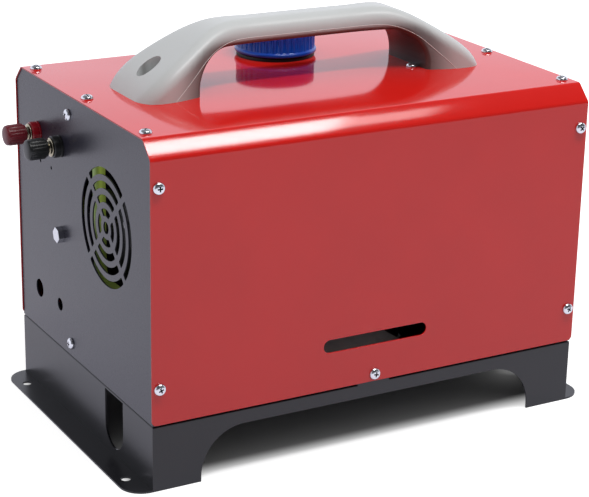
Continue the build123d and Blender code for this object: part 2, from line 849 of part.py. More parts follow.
def delivery_pipe():
    """Thin pipe from the pump's outlet, between tank and heater, to the burner's fuel inlet."""
    start = (pump_x, pump_y, pump_high + barb_length - hose_grip)
    end = (fuel_inlet_x, fuel_nipple_y - hose_grip, fuel_inlet_z)
    lane = (tank_front + casing_back_y) / 2
    bends = [(pump_x, pump_y, pump_high + 30), (pump_x + 15, lane, pump_high + 22),
             (intake_stub_x - 17, lane, pump_high + 10), (fuel_inlet_x, lane, fuel_inlet_z)]
    return cord("delivery_pipe", [start] + bends + [end], pipe_radius, pipe_bore)


# ---- heater unit ----

def casing_form(inset, x0, x1):
    """The heater casing's round-cornered form drawn inset inside its skin."""
    width = 2 * (casing_half_y - inset)
    height = 2 * (casing_half_z - inset)
    section = RectangleRounded(width, height, casing_corner - inset)
    return Pos(x0, heater_y, heater_z) * extrude(Plane.YZ * section, x1 - x0)


def heater_casing():
    """Whole heater casing with its intake, outlet, foot window and holes."""
    at = (heater_y, heater_z)
    casing = casing_form(0, casing_x0, casing_x1)
    casing -= casing_form(casing_wall, casing_x0 + casing_wall, casing_x1 - casing_wall)
    casing -= rod("X", casing_mouth, casing_x0 - 1, casing_x0 + casing_wall + 1, at)
    casing -= rod("X", outlet_radius, casing_x1 - casing_wall - 1, casing_x1 + 1, at)
    casing -= span_box((foot_x0 - foot_gap, foot_x1 + foot_gap),
                       (heater_y - foot_half_y - foot_gap, heater_y + foot_half_y + foot_gap),
                       (casing_low - 1, casing_low + casing_wall + 1))
    casing -= rod("Z", intake_stub_radius + foot_gap, casing_low - 1, casing_low + casing_wall + 1,
                  (intake_stub_x, heater_y))
    entry = casing_back_y - casing_corner / 2
    casing -= rod("Y", pipe_radius + entry_gap, entry, casing_back_y + 1, (fuel_inlet_x, fuel_inlet_z))
    for x in lead_xs:
        casing -= rod("Y", lead_radius + entry_gap, entry - 6, casing_back_y + 1, (x, lead_z))
    return casing


def heater_casing_upper():
    """Upper half of the heater casing."""
    return heater_casing() - span_box((-cover_x, cover_x), (-cover_y, cover_y), (0, heater_z))


def heater_casing_lower():
    """Lower half of the heater casing."""
    return heater_casing() & span_box((-cover_x, cover_x), (-cover_y, cover_y), (0, heater_z))


def intake_ring():
    """Square intake duct with rounded corners, from the casing's left end to just behind the grille."""
    depth = casing_x0 - intake_front
    outer = RectangleRounded(2 * intake_half_y, 2 * intake_half_z, intake_corner)
    inner = RectangleRounded(2 * (intake_half_y - intake_wall), 2 * (intake_half_z - intake_wall),
                             intake_corner - intake_wall)
    ring = extrude(Plane.YZ * (outer - inner), depth)
    ring = Pos(intake_front, heater_y, heater_z) * ring
    return fillet(ring.edges().group_by(Axis.X)[0], intake_wall / 4)


def fan_impeller():
    """Warm-air fan: a round-nosed hub with slanted blades."""
    at = (heater_y, heater_z)
    hub = fillet(rod("X", fan_hub, fan_x0, fan_x1, at).edges().group_by(Axis.X)[0], 6)
    chord = fan_x1 - fan_x0 - 2
    blade = Rot(0, 0, fan_slant) * Box(chord, fan_blade, fan_radius - fan_hub + 2)
    blade = Pos(0, 0, (fan_hub + fan_radius) / 2 - 1) * blade
    middle = (fan_x0 + fan_x1) / 2
    blades = [Pos(middle, *at) * Rot(360 / fan_blades * turn, 0, 0) * blade for turn in range(fan_blades)]
    fan = hub + blades
    fan &= rod("X", fan_radius, fan_x0 - 10, fan_x1 + 10, at)
    return fan - rod("X", shaft_radius, fan_x0 - 1, fan_x1 + 1, at)


def motor_shaft():
    """Shaft that carries the fan at one end and the combustion impeller at the other."""
    return rod("X", shaft_radius, fan_x0 - 2, impeller_x1 + 2, (heater_y, heater_z))


def blower_motor():
    """Motor can round the shaft."""
    at = (heater_y, heater_z)
    can = fillet(rod("X", motor_radius, motor_x0, motor_x1, at).edges(), 1.5)
    return can - rod("X", shaft_radius + shaft_gap, motor_x0 - 1, motor_x1 + 1, at)


def blower_housing():
    """Cast housing: motor sleeve, bulkhead, combustion volute with a flange, intake stub and board pad."""
    at = (heater_y, heater_z)
    stub = (intake_stub_x, heater_y)
    stub_top = heater_z - volute_radius / 2
    bulkhead_end = motor_x1 + volute_wall
    housing = rod("X", motor_radius + volute_wall, motor_x0, motor_x1, at)
    housing += rod("X", volute_radius, motor_x1, volute_x1, at)
    housing += rod("X", exchanger_radius, volute_x1 - volute_wall, volute_x1, at)
    housing += rod("Z", intake_stub_radius, stub_bottom, stub_top, stub)
    housing += span_box((motor_x1, volute_x1 - volute_wall), (heater_y - 15, heater_y + 15),
                        (heater_z + volute_radius / 2, boss_top))
    housing -= rod("X", motor_radius, motor_x0 - 1, motor_x1, at)
    housing -= rod("X", shaft_radius + 2, motor_x1 - 1, bulkhead_end + 1, at)
    housing -= rod("Z", intake_stub_radius - stub_wall, stub_bottom - 1, stub_top, stub)
    return housing - rod("X", volute_radius - volute_wall, bulkhead_end, volute_x1 + 1, at)


def combustion_impeller():
    """Small radial impeller that feeds the burner."""
    at = (heater_y, heater_z)
    disc = rod("X", impeller_radius, impeller_x1 - 2, impeller_x1, at)
    disc += rod("X", 3 * shaft_radius, impeller_x0, impeller_x1, at)
    length = impeller_x1 - impeller_x0
    vane = Pos(0, 0, impeller_radius * 0.65) * Box(length, 1.6, impeller_radius * 0.6)
    middle = (impeller_x0 + impeller_x1) / 2
    vanes = [Pos(middle, *at) * Rot(30 * turn, 0, 0) * vane for turn in range(12)]
    return disc + vanes - rod("X", shaft_radius, impeller_x0 - 1, impeller_x1 + 1, at)


def burner_tube():
    """Flanged burner tube with rows of air holes and a hole for the glow plug."""
    at = (heater_y, heater_z)
    burner = rod("X", exchanger_radius, volute_x1, volute_x1 + burner_flange, at)
    burner += rod("X", burner_radius, volute_x1, burner_end, at)
    burner -= rod("X", burner_radius - burner_wall, volute_x1 + burner_flange, burner_end + 1, at)
    burner -= rod("X", burner_radius / 2, volute_x1 - 1, volute_x1 + burner_flange + 1, at)
    for row in range(3):
        ring = Pos(burner_end - 20 * (row + 1), *at) * Rot(0, 90, 0) * PolarLocations(burner_radius, 10)
        burner -= ring * (Rot(0, 90, 0) * Cylinder(2.5, 8))
    return burner - rod("Z", plug_radius, heater_z, heater_z + exchanger_radius, (plug_x, heater_y))


def heat_exchanger():
    """Finned heat exchanger with a foot, its studs, the exhaust stub, the fuel inlet and the plug boss."""
    at = (heater_y, heater_z)
    start = volute_x1 + burner_flange
    bore = exchanger_radius - exchanger_wall
    body = rod("X", exchanger_radius, start, exchanger_x1, at)
    fin = Pos(0, 0, (fin_radius + bore) / 2) * Box(exchanger_x1 - fin_x0, fin_thick, fin_radius - bore)
    middle = (fin_x0 + exchanger_x1) / 2
    body += [Pos(middle, *at) * Rot(360 / fin_count * turn, 0, 0) * fin for turn in range(fin_count)]
    foot_y = (heater_y - foot_half_y, heater_y + foot_half_y)
    body += span_box((foot_x0, foot_x1), foot_y, (casing_low, heater_z - bore))
    body += rod("Z", exhaust_radius, stub_bottom, heater_z - bore, (exhaust_x, heater_y))
    body += span_box((boss_x0, boss_x1), (heater_y - 10, heater_y + 10), (heater_z + bore, boss_top))
    inlet = (fuel_inlet_x, fuel_inlet_z)
    body += rod("Y", pipe_bore + 2, heater_y + bore, fuel_nipple_y - barb_length, inlet)
    body += rod("Y", pipe_bore, heater_y + bore, fuel_nipple_y, inlet)
    body += [rod("Z", stud_radius, stud_low, casing_low + 1, point) for point in stud_points()]
    body -= rod("X", bore, start - 1, exchanger_x1 - exchanger_wall, at)
    body -= rod("Z", exhaust_radius - stub_wall, stub_bottom - 1, heater_z, (exhaust_x, heater_y))
    return body - rod("Z", plug_radius, heater_z, boss_top + 1, (plug_x, heater_y))


def stud_points():
    """X and Y of the four studs under the heater's foot."""
    xs = (foot_x0 + stud_edge, foot_x1 - stud_edge)
    reach = foot_half_y - stud_edge
    return [(x, heater_y + side * reach) for x in xs for side in (-1, 1)]


def heater_nuts():
    """Nuts on the heater's studs, under the bracket."""
    top = casing_low - bracket_sheet
    nut = Pos(0, 0, -stud_nut) * (hex_prism(2 * stud_nut, stud_nut) - Cylinder(stud_radius, 3 * stud_nut))
    return [Pos(x, y, top) * nut for x, y in stud_points()]


def glow_plug():
    """Glow plug screwed through the boss into the burner."""
    at = (plug_x, heater_y)
    plug = rod("Z", plug_radius, heater_z + burner_radius / 2, boss_top, at)
    plug += Pos(*at, boss_top) * hex_prism(3 * plug_radius, 6)
    return plug + rod("Z", 1.6, boss_top, boss_top + 11, at)


def overheat_sensor():
    """Overheat sensor clamped on the boss."""
    sensor = span_box((boss_x1 - 12, boss_x1), (heater_y - 8, heater_y + 8), (boss_top, boss_top + 5))
    return fillet(sensor.edges().group_by(Axis.Z)[-1], 1)


def control_board():
    """Control unit on the pad over the motor, with a row of ribs on its top."""
    board = span_box((board_x0, board_x1), (heater_y - board_half_y, heater_y + board_half_y),
                     (boss_top, boss_top + board_height - 3))
    board = fillet(board.edges().filter_by(Axis.Z), 3)
    for rib in range(6):
        x = board_x0 + 6 + rib * 8
        board += span_box((x, x + 3), (heater_y - board_half_y + 6, heater_y + board_half_y - 6),
                          (boss_top + board_height - 4, boss_top + board_height - 1))
    return board


def heater_bracket():
    """Folded bridge that carries the heater, with a slant-ended skirt down its front."""
    top = casing_low
    y = (heater_y - bracket_half_y, heater_y + bracket_half_y)
    sheet = bracket_sheet
    bracket = span_box((bracket_x0, bracket_x1), y, (top - sheet, top))
    for low_y in (y[0], y[1] - sheet):
        bracket += span_box((bracket_x0, bracket_x1), (low_y, low_y + sheet), (top - bracket_lip, top))
    bracket += span_box((bracket_x0, bracket_x0 + sheet), y, (base_height, top))
    bracket += span_box((bracket_x1 - sheet, bracket_x1), y, (base_height, top))
    bracket += span_box((bracket_x0 - bracket_toe, bracket_x0), y, (base_height, base_height + sheet))
    bracket += span_box((bracket_x1, bracket_x1 + bracket_toe), y, (base_height, base_height + sheet))
    room = top - base_height
    skirt = [(bracket_x0, base_height), (skirt_low_x, base_height), (skirt_top_x, top), (bracket_x0, top)]
    bracket += extrude(Plane.XZ.offset(-y[0]) * make_face(Polyline(*skirt, close=True)), -sheet)
    window_z = base_height + 0.44 * room
    bracket -= rod("X", bracket_window * room, bracket_x0 - 1, bracket_x1 + 1, (heater_y, window_z))
    for x, radius in ((intake_stub_x, intake_stub_radius), (exhaust_x, exhaust_radius)):
        bracket -= rod("Z", radius + pipe_wall + foot_gap, top - sheet - 1, top + 1, (x, heater_y))
    for point in stud_points():
        bracket -= rod("Z", stud_radius + thread_gap, top - sheet - 1, top + 1, point)
    return bracket


def down_pipe(x, radius):
    """Pipe with a socket over one of the heater's stubs, down through the base's plate."""
    at = (x, heater_y)
    pipe = rod("Z", radius + pipe_wall, socket_low, socket_top, at)
    pipe += rod("Z", radius, pipe_end, socket_low, at)
    pipe -= rod("Z", radius, socket_low + pipe_wall, socket_top + 1, at)
    return pipe - rod("Z", radius - pipe_wall, pipe_end - 1, socket_top, at)


def exhaust_pipe():
    """Exhaust pipe under the heater."""
    return down_pipe(exhaust_x, exhaust_radius)


def air_intake_pipe():
    """Combustion air pipe under the heater."""
    return down_pipe(intake_stub_x, intake_stub_radius)


def outlet_spigot():
    """Warm-air duct spigot through the right end panel."""
    at = (heater_y, heater_z)
    spigot = rod("X", outlet_radius, casing_x1 - casing_wall, outlet_end, at)
    spigot += rod("X", outlet_flange_radius, panel_x, panel_x + outlet_flange, at)
    return spigot - rod("X", outlet_radius - outlet_wall, casing_x1 - casing_wall - 1, outlet_end + 1, at)


# ---- power terminals ----

def terminal_collar(y):
    """Insulating collar of one terminal, with a sleeve through the end panel."""
    at = (y, terminal_z)
    collar = rod("X", collar_radius, collar_end, -panel_x, at)
    collar = fillet(collar.edges().group_by(Axis.X)[0], 0.8)
    collar += rod("X", collar_sleeve, -panel_x, -panel_in, at)
    return collar - rod("X", stud_post_radius, collar_end - 1, -panel_in + 1, at)


def terminal_washer(y):
    """Metal contact ring that travels with the knob."""
    ring = rod("X", washer_radius, washer_end, collar_end, (y, terminal_z))
    ring = chamfer(ring.edges(), 0.5)
    return ring - rod("X", stud_post_radius + washer_gap, washer_end - 1, collar_end + 1, (y, terminal_z))


def terminal_knob(y):
    """Knurled knob with a plain, slightly domed end."""
    at = (y, terminal_z)
    knob = fillet(rod("X", knob_radius, knob_end, washer_end, at).edges().group_by(Axis.X)[0], 2)
    ridged = knob_length - knob_plain
    reach = knob_radius + knob_ridge_round - knob_ridge_depth
    groove = Pos(0, reach, 0) * Rot(0, 90, 0) * Cylinder(knob_ridge_round, ridged)
    middle = Pos(washer_end - ridged / 2, *at)
    for turn in range(knob_ridges):
        knob -= middle * Rot(360 / knob_ridges * turn, 0, 0) * groove
    return knob - rod("X", stud_post_radius + thread_gap, knob_end + 4, washer_end + 1, at)


def terminal_studs():
    """Brass studs of the two terminals, each with a cross hole for a wire."""
    studs = []
    for y in terminal_ys:
        stud = rod("X", stud_post_radius, knob_end + stud_room, stud_inner_end, (y, terminal_z))
        hole_x = collar_end - washer_length / 2
        studs.append(stud - rod("Z", wire_bore, terminal_z - 10, terminal_z + 10, (hole_x, y)))
    return studs


def terminal_nuts():
    """Two nuts on each stud behind the end panel, with the lead's lug between them."""
    nuts = []
    nut = hex_prism(terminal_nut_flats, terminal_nut) - Cylinder(stud_post_radius, 3 * terminal_nut)
    for y in terminal_ys:
        for x in (-panel_in, -panel_in + terminal_nut + lug_thick):
            nuts.append(Pos(x, y, terminal_z) * Rot(0, 90, 0) * nut)
    return nuts


def power_lead(name, y, bends, end_x):
    """Lug on a terminal's stud and the lead from it to the control unit."""
    lug_x = -panel_in + terminal_nut
    lug = rod("X", terminal_nut_flats / 2, lug_x, lug_x + lug_thick, (y, terminal_z))
    lug += span_box((lug_x, lug_x + lug_thick), (y - 3, y + 3), (terminal_z, terminal_z + 13))
    barrel_x = lug_x + lug_thick / 2
    lug += rod("Z", lead_radius + 0.8, terminal_z + 10, terminal_z + 17, (barrel_x, y))
    lug -= rod("X", stud_post_radius, lug_x - 1, lug_x + lug_thick + 1, (y, terminal_z))
    points = [(barrel_x, y, terminal_z + 17)] + bends + [(end_x, heater_y + board_half_y, lead_z)]
    return [lug, cord(name, points, lead_radius, 0)]


def positive_lead():
    """Red lead."""
    y = terminal_ys[0]
    bends = [(lead_bend_x, y, terminal_z + 27.5), (pump_x + 9, pump_y - 12, lead_z + 1),
             (lead_xs[0], casing_back_y + 5.5, lead_z)]
    return power_lead("positive_lead", y, bends, lead_xs[0])


def negative_lead():
    """Black lead."""
    y = terminal_ys[1]
    bends = [(lead_bend_x, y, terminal_z + 29.5), (pump_x + 15, casing_back_y + 13.5, tank_top + 4),
             (lead_xs[1], casing_back_y + 7.5, lead_z)]
    return power_lead("negative_lead", y, bends, lead_xs[1])


# ---- controller ----

def button_places():
    """Y and Z of the controller's four buttons."""
    left = controller_y - controller_width / 2
    return [(left + column * button_pitch + button_margin, controller_z + row * button_pitch / 2)
            for column in (0, 1) for row in (1, -1)]


def controller_case():
    """Controller case on the right end panel, with a window opening and four button holes."""
    front = panel_x + controller_depth
    wall = controller_wall
    middle = ((panel_x + front) / 2, controller_y, controller_z)
    case = Pos(*middle) * Box(controller_depth, controller_width, controller_tall)
    case = fillet(case.edges().filter_by(Axis.X), controller_corner)
    case = fillet(case.edges().group_by(Axis.X)[-1], 1.5)
    room = Box(controller_depth - 2 * wall, controller_width - 2 * wall, controller_tall - 2 * wall)
    case -= Pos(*middle) * room
    case -= controller_glass(0)
    for place in button_places():
        post_end = button_back - button_travel - button_gap
        case -= rod("X", button_radius + button_gap, front - wall - 1, front + 1, place)
        case += rod("X", button_radius / 2, panel_x + wall / 2, post_end, place)
    return case


def controller_glass(inset):
    """Plate that fills the controller's window opening."""
    middle_y = controller_y + controller_width / 2 - window_width / 2 - button_margin / 2
    half_y = window_width / 2 - inset
    half_z = window_tall / 2 - inset
    front = panel_x + controller_depth
    return span_box((front - controller_wall, front), (middle_y - half_y, middle_y + half_y),
                    (controller_z - half_z, controller_z + half_z))


def controller_window():
    """Display window."""
    return controller_glass(0)


def controller_button(index):
    """One round button with a flange behind the case's front."""
    place = button_places()[index]
    front = panel_x + controller_depth
    button = rod("X", button_radius, button_back, front + button_stand, place)
    button = fillet(button.edges().group_by(Axis.X)[-1], 0.6)
    return button + rod("X", button_radius + 1.2, button_back, front - controller_wall - 0.1, place)


# ---- write ----

PARTS = {
    "outer_cover": outer_cover,
    "base_tray": base_tray,
    "left_end_panel": left_end_panel,
    "right_end_panel": right_end_panel,
    "handle_brace": handle_brace,
    "cover_screws": cover_screws,
    "end_panel_screws": end_panel_screws,
    "handle_top_shell": handle_top_shell,
    "handle_bottom_shell": handle_bottom_shell,
    "handle_screws": handle_screws,
    "fuel_tank": fuel_tank,
    "tank_straps": tank_straps,
    "filler_grommet": filler_grommet,
    "fuel_cap": fuel_cap,
    "cap_liner": cap_liner,
    "cap_seal": cap_seal,
    "fuel_pickup": fuel_pickup,
    "fuel_filter": fuel_filter,
    "pump_body": pump_body,
    "pump_plunger": pump_plunger,
    "pump_spring": pump_spring,
    "pump_clip": pump_clip,
    "pump_bolt": pump_bolt,
    "suction_hose": suction_hose,
    "pump_inlet_hose": pump_inlet_hose,
    "delivery_pipe": delivery_pipe,
    "heater_bracket": heater_bracket,
    "heater_casing_upper": heater_casing_upper,
    "heater_casing_lower": heater_casing_lower,
    "intake_ring": intake_ring,
    "fan_impeller": fan_impeller,
    "motor_shaft": motor_shaft,
    "blower_motor": blower_motor,
    "blower_housing": blower_housing,
    "combustion_impeller": combustion_impeller,
    "burner_tube": burner_tube,
    "heat_exchanger": heat_exchanger,
    "heater_nuts": heater_nuts,
    "glow_plug": glow_plug,
    "overheat_sensor": overheat_sensor,
    "control_board": control_board,
    "exhaust_pipe": exhaust_pipe,
    "air_intake_pipe": air_intake_pipe,
    "outlet_spigot": outlet_spigot,
    "positive_collar": lambda: terminal_collar(terminal_ys[0]),
    "negative_collar": lambda: terminal_collar(terminal_ys[1]),
    "positive_washer": lambda: terminal_washer(terminal_ys[0]),
    "negative_washer": lambda: terminal_washer(terminal_ys[1]),
    "positive_knob": lambda: terminal_knob(terminal_ys[0]),
    "negative_knob": lambda: terminal_knob(terminal_ys[1]),
    "terminal_studs": terminal_studs,
    "terminal_nuts": terminal_nuts,
    "positive_lead": positive_lead,
    "negative_lead": negative_lead,
    "controller_case": controller_case,
    "controller_window": controller_window,
    "power_button": lambda: controller_button(0),
    "settings_button": lambda: controller_button(1),
    "up_button": lambda: controller_button(2),
    "down_button": lambda: controller_button(3),
}


def write_parts():
    """Write one STEP file for each piece."""
    os.makedirs("parts", exist_ok=True)
    for name, make in PARTS.items():
        shape = make()
        if isinstance(shape, list):
            shape = Compound(children=shape)
        export_step(shape, f"parts/{name}.step")


write_parts()
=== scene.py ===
import math

import bmesh
import bpy
from mathutils import Matrix, Vector


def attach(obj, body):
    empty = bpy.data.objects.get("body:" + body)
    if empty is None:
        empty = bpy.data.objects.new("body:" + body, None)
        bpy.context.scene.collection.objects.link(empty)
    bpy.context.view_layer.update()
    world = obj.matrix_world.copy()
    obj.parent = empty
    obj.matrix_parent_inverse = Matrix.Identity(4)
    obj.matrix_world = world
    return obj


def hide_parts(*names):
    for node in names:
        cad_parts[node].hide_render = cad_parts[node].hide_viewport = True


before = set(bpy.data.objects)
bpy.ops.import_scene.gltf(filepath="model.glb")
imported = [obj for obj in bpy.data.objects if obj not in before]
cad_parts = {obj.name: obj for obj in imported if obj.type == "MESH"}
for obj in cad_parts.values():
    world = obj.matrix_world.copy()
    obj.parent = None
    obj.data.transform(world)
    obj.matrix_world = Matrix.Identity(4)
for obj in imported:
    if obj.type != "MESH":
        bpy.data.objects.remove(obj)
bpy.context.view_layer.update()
scene = bpy.context.scene
mm = 0.001

# ---- camera ----
# A long lens stands a little above the heater, off the corner of its front and its grille end, and looks
# down at its middle from about 1.7 m.
bpy.ops.object.camera_add()
camera = bpy.context.object
camera.name = "camera"
camera.data.sensor_width = 36.0
camera.data.lens = 114.306
camera.data.clip_end = 30.0
camera.matrix_world = Matrix((
    (0.873594, 0.145592, -0.464367, -0.751379),
    (-0.486292, 0.298015, -0.821405, -1.327650),
    (0.018799, 0.943393, 0.331145, 0.663708),
    (0.0, 0.0, 0.0, 1.0),
))
scene.camera = camera
scene.view_settings.view_transform = "Standard"

# ---- floor ----
# White seamless paper, lifted to white as the camera sees it, more so far away, and a little as the glossy
# surfaces see it. The lift fades out under the heater, where the paper lies in its shadow.


def maths(nodes, operation, constant=None):
    """Math node, with its second number set where that is the same everywhere."""
    node = nodes.new("ShaderNodeMath")
    node.operation = operation
    if constant is not None:
        node.inputs[1].default_value = constant
    return node


def slope(nodes, start, end, first=0.0, last=1.0, curve="SMOOTHSTEP"):
    """Map Range node that goes from a first level at the start to a last level at the end."""
    node = nodes.new("ShaderNodeMapRange")
    node.interpolation_type = curve
    for socket, value in (("From Min", start), ("From Max", end), ("To Min", first), ("To Max", last)):
        node.inputs[socket].default_value = value
    return node


def two_colours(nodes, blend="MIX", factor=0.5):
    """Mix node for two colours."""
    node = nodes.new("ShaderNodeMix")
    node.data_type = "RGBA"
    node.blend_type = blend
    node.inputs["Factor"].default_value = factor
    return node


bpy.ops.mesh.primitive_plane_add(size=14.0)
floor = bpy.context.object
floor.name = "paper_floor"
paper = bpy.data.materials.new("seamless paper")
paper.use_nodes = True
nodes, links = paper.node_tree.nodes, paper.node_tree.links
nodes.clear()
out = nodes.new("ShaderNodeOutputMaterial")
matte = nodes.new("ShaderNodeBsdfDiffuse")
matte.inputs["Color"].default_value = (0.55, 0.55, 0.55, 1)
lift = nodes.new("ShaderNodeEmission")
both = nodes.new("ShaderNodeAddShader")
rays = nodes.new("ShaderNodeLightPath")
place = nodes.new("ShaderNodeTexCoord")
apart = nodes.new("ShaderNodeSeparateXYZ")
away = nodes.new("ShaderNodeVectorMath")
away.operation = "LENGTH"
far_lift = slope(nodes, 0.30, 0.95, 0.78, 1.1)
seen = maths(nodes, "MULTIPLY")
mirrored = maths(nodes, "MULTIPLY", 0.66)
share = maths(nodes, "MAXIMUM")
open_floor = maths(nodes, "MAXIMUM")
strength = maths(nodes, "MULTIPLY")
tint = two_colours(nodes)
tint.inputs["A"].default_value = (1, 1, 1, 1)
tint.inputs["B"].default_value = (0.85, 0.845, 1.03, 1)
links.new(place.outputs["Object"], apart.inputs["Vector"])
links.new(place.outputs["Object"], away.inputs[0])
for socket, axis, shaded, lit in ((0, "X", 0.200, 0.216), (1, "Y", 0.105, 0.135)):
    length = maths(nodes, "ABSOLUTE")
    edge = slope(nodes, shaded, lit)
    links.new(apart.outputs[axis], length.inputs[0])
    links.new(length.outputs[0], edge.inputs["Value"])
    links.new(edge.outputs["Result"], open_floor.inputs[socket])
links.new(away.outputs["Value"], far_lift.inputs["Value"])
links.new(far_lift.outputs["Result"], seen.inputs[0])
links.new(rays.outputs["Is Camera Ray"], seen.inputs[1])
links.new(rays.outputs["Is Glossy Ray"], mirrored.inputs[0])
links.new(rays.outputs["Is Glossy Ray"], tint.inputs["Factor"])
links.new(seen.outputs[0], share.inputs[0])
links.new(mirrored.outputs[0], share.inputs[1])
links.new(share.outputs[0], strength.inputs[0])
links.new(open_floor.outputs[0], strength.inputs[1])
links.new(strength.outputs[0], lift.inputs["Strength"])
links.new(tint.outputs["Result"], lift.inputs["Color"])
links.new(matte.outputs[0], both.inputs[0])
links.new(lift.outputs[0], both.inputs[1])
links.new(both.outputs[0], out.inputs["Surface"])
floor.data.materials.append(paper)

# ---- lights ----
# A white room that is brightest overhead. A long strip softbox above the front draws the white highlight
# along the cover's bend, and its weaker end lets that highlight fade. The grille end gets less of the room's
# light; glossy surfaces see a dim ceiling and a dim camera side.
world = bpy.data.worlds.new("white room")
scene.world = world
world.use_nodes = True
nodes, links = world.node_tree.nodes, world.node_tree.links
nodes.clear()
out = nodes.new("ShaderNodeOutputWorld")
glow = nodes.new("ShaderNodeBackground")
backdrop = nodes.new("ShaderNodeBackground")
mirrored = nodes.new("ShaderNodeBackground")
white = (1, 1, 1, 1)
for light, colour in ((glow, white), (backdrop, white), (mirrored, (0.92, 0.94, 1.05, 1))):
    light.inputs["Color"].default_value = colour
backdrop.inputs["Strength"].default_value = 1.0
swap_glossy = nodes.new("ShaderNodeMixShader")
swap_camera = nodes.new("ShaderNodeMixShader")
rays = nodes.new("ShaderNodeLightPath")
place = nodes.new("ShaderNodeTexCoord")
apart = nodes.new("ShaderNodeSeparateXYZ")
overhead = slope(nodes, 0.05, 0.90, 0.08, 0.80)
grille_side = slope(nodes, -0.80, -0.10, 0.65, 1.0)
ceiling = slope(nodes, 0.45, 0.70, 1.15, 0.22)
camera_side = slope(nodes, -0.50, -0.05, 0.10, 1.0)
shade = maths(nodes, "MULTIPLY")
dimmer = maths(nodes, "MULTIPLY")
links.new(place.outputs["Generated"], apart.inputs["Vector"])
links.new(apart.outputs["Z"], overhead.inputs["Value"])
links.new(apart.outputs["Z"], ceiling.inputs["Value"])
links.new(apart.outputs["Y"], camera_side.inputs["Value"])
links.new(apart.outputs["X"], grille_side.inputs["Value"])
links.new(overhead.outputs["Result"], shade.inputs[0])
links.new(grille_side.outputs["Result"], shade.inputs[1])
links.new(shade.outputs[0], glow.inputs["Strength"])
links.new(ceiling.outputs["Result"], dimmer.inputs[0])
links.new(camera_side.outputs["Result"], dimmer.inputs[1])
links.new(dimmer.outputs[0], mirrored.inputs["Strength"])
links.new(rays.outputs["Is Glossy Ray"], swap_glossy.inputs[0])
links.new(glow.outputs[0], swap_glossy.inputs[1])
links.new(mirrored.outputs[0], swap_glossy.inputs[2])
links.new(rays.outputs["Is Camera Ray"], swap_camera.inputs[0])
links.new(swap_glossy.outputs[0], swap_camera.inputs[1])
links.new(backdrop.outputs[0], swap_camera.inputs[2])
links.new(swap_camera.outputs[0], out.inputs["Surface"])
lamp_y, lamp_height = -0.61, 1.78
for name, lamp_x, width, depth, power in (
    ("strip_softbox", 0.305, 1.11, 0.21, 15.5),
    ("strip_softbox_end", 0.96, 0.20, 0.15, 0.6),
):
    bpy.ops.object.light_add(type="AREA", location=(lamp_x, lamp_y, lamp_height))
    lamp = bpy.context.object
    lamp.name = name
    lamp.rotation_euler = Vector((0, 0, -lamp_height)).to_track_quat("-Z", "Y").to_euler()
    lamp.data.shape = "RECTANGLE"
    lamp.data.size = width
    lamp.data.size_y = depth
    lamp.data.energy = power

# ---- stand ----
# The heater's stand: one sheet of 1.5 mm steel, pressed, folded into a tray with an arch in each long
# side, and powder-coated a fine satin black. Its feet are flanges with bolt holes.


def finish(name, colour, roughness, grain=900.0, depth=0.06, tone=0.12, spread=0.06, coat=0.0, metal=0.0):
    """Material with one shader whose colour and gloss drift a little, under a fine even grain."""
    material = bpy.data.materials.new(name)
    material.use_nodes = True
    nodes, links = material.node_tree.nodes, material.node_tree.links
    shader = nodes["Principled BSDF"]
    shader.name = "shader"
    shader.inputs["Metallic"].default_value = metal
    shader.inputs["Coat Weight"].default_value = coat
    shader.inputs["Coat Roughness"].default_value = 0.04
    place = nodes.new("ShaderNodeTexCoord")
    place.name = "place"
    cloud = nodes.new("ShaderNodeTexNoise")
    cloud.inputs["Scale"].default_value = 14.0
    cloud.inputs["Detail"].default_value = 3.0
    colours = nodes.new("ShaderNodeValToRGB")
    colours.name = "colours"
    dark = [channel * (1 - tone) for channel in colour]
    light = [min(1.0, channel * (1 + tone)) for channel in colour]
    for stop, position, shade in zip(colours.color_ramp.elements, (0.3, 0.7), (dark, light)):
        stop.position = position
        stop.color = (*shade, 1)
    speck = nodes.new("ShaderNodeTexNoise")
    speck.inputs["Scale"].default_value = grain
    speck.inputs["Detail"].default_value = 2.0
    gloss = slope(nodes, 0.0, 1.0, max(0.02, roughness - spread), roughness + spread, "LINEAR")
    bump = nodes.new("ShaderNodeBump")
    bump.inputs["Strength"].default_value = depth
    bump.inputs["Distance"].default_value = 0.2 * mm
    links.new(place.outputs["Object"], cloud.inputs["Vector"])
    links.new(cloud.outputs["Fac"], colours.inputs["Fac"])
    links.new(colours.outputs["Color"], shader.inputs["Base Color"])
    links.new(place.outputs["Object"], speck.inputs["Vector"])
    links.new(speck.outputs["Fac"], gloss.inputs["Value"])
    links.new(gloss.outputs["Result"], shader.inputs["Roughness"])
    links.new(speck.outputs["Fac"], bump.inputs["Height"])
    links.new(bump.outputs["Normal"], shader.inputs["Normal"])
    return material


def take(piece):
    """Leaves only this piece selected, so that an operator works on nothing else."""
    for other in list(bpy.context.selected_objects):
        other.select_set(False)
    bpy.context.view_layer.objects.active = piece
    piece.select_set(True)


def sheet_form(node, name, flat=0.4):
    """Copy of a solid's mesh with its loose triangles joined and its flats cleared of needless edges."""
    piece = bpy.data.objects.new(name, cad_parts[node].data.copy())
    scene.collection.objects.link(piece)
    piece.data.materials.clear()
    take(piece)
    bpy.ops.mesh.customdata_custom_splitnormals_clear()
    bpy.ops.object.mode_set(mode="EDIT")
    bpy.ops.mesh.select_all(action="SELECT")
    bpy.ops.mesh.remove_doubles(threshold=0.01 * mm)
    bpy.ops.mesh.mark_sharp(clear=True)
    bpy.ops.mesh.dissolve_limited(angle_limit=math.radians(flat))
    bpy.ops.object.mode_set(mode="OBJECT")
    return piece


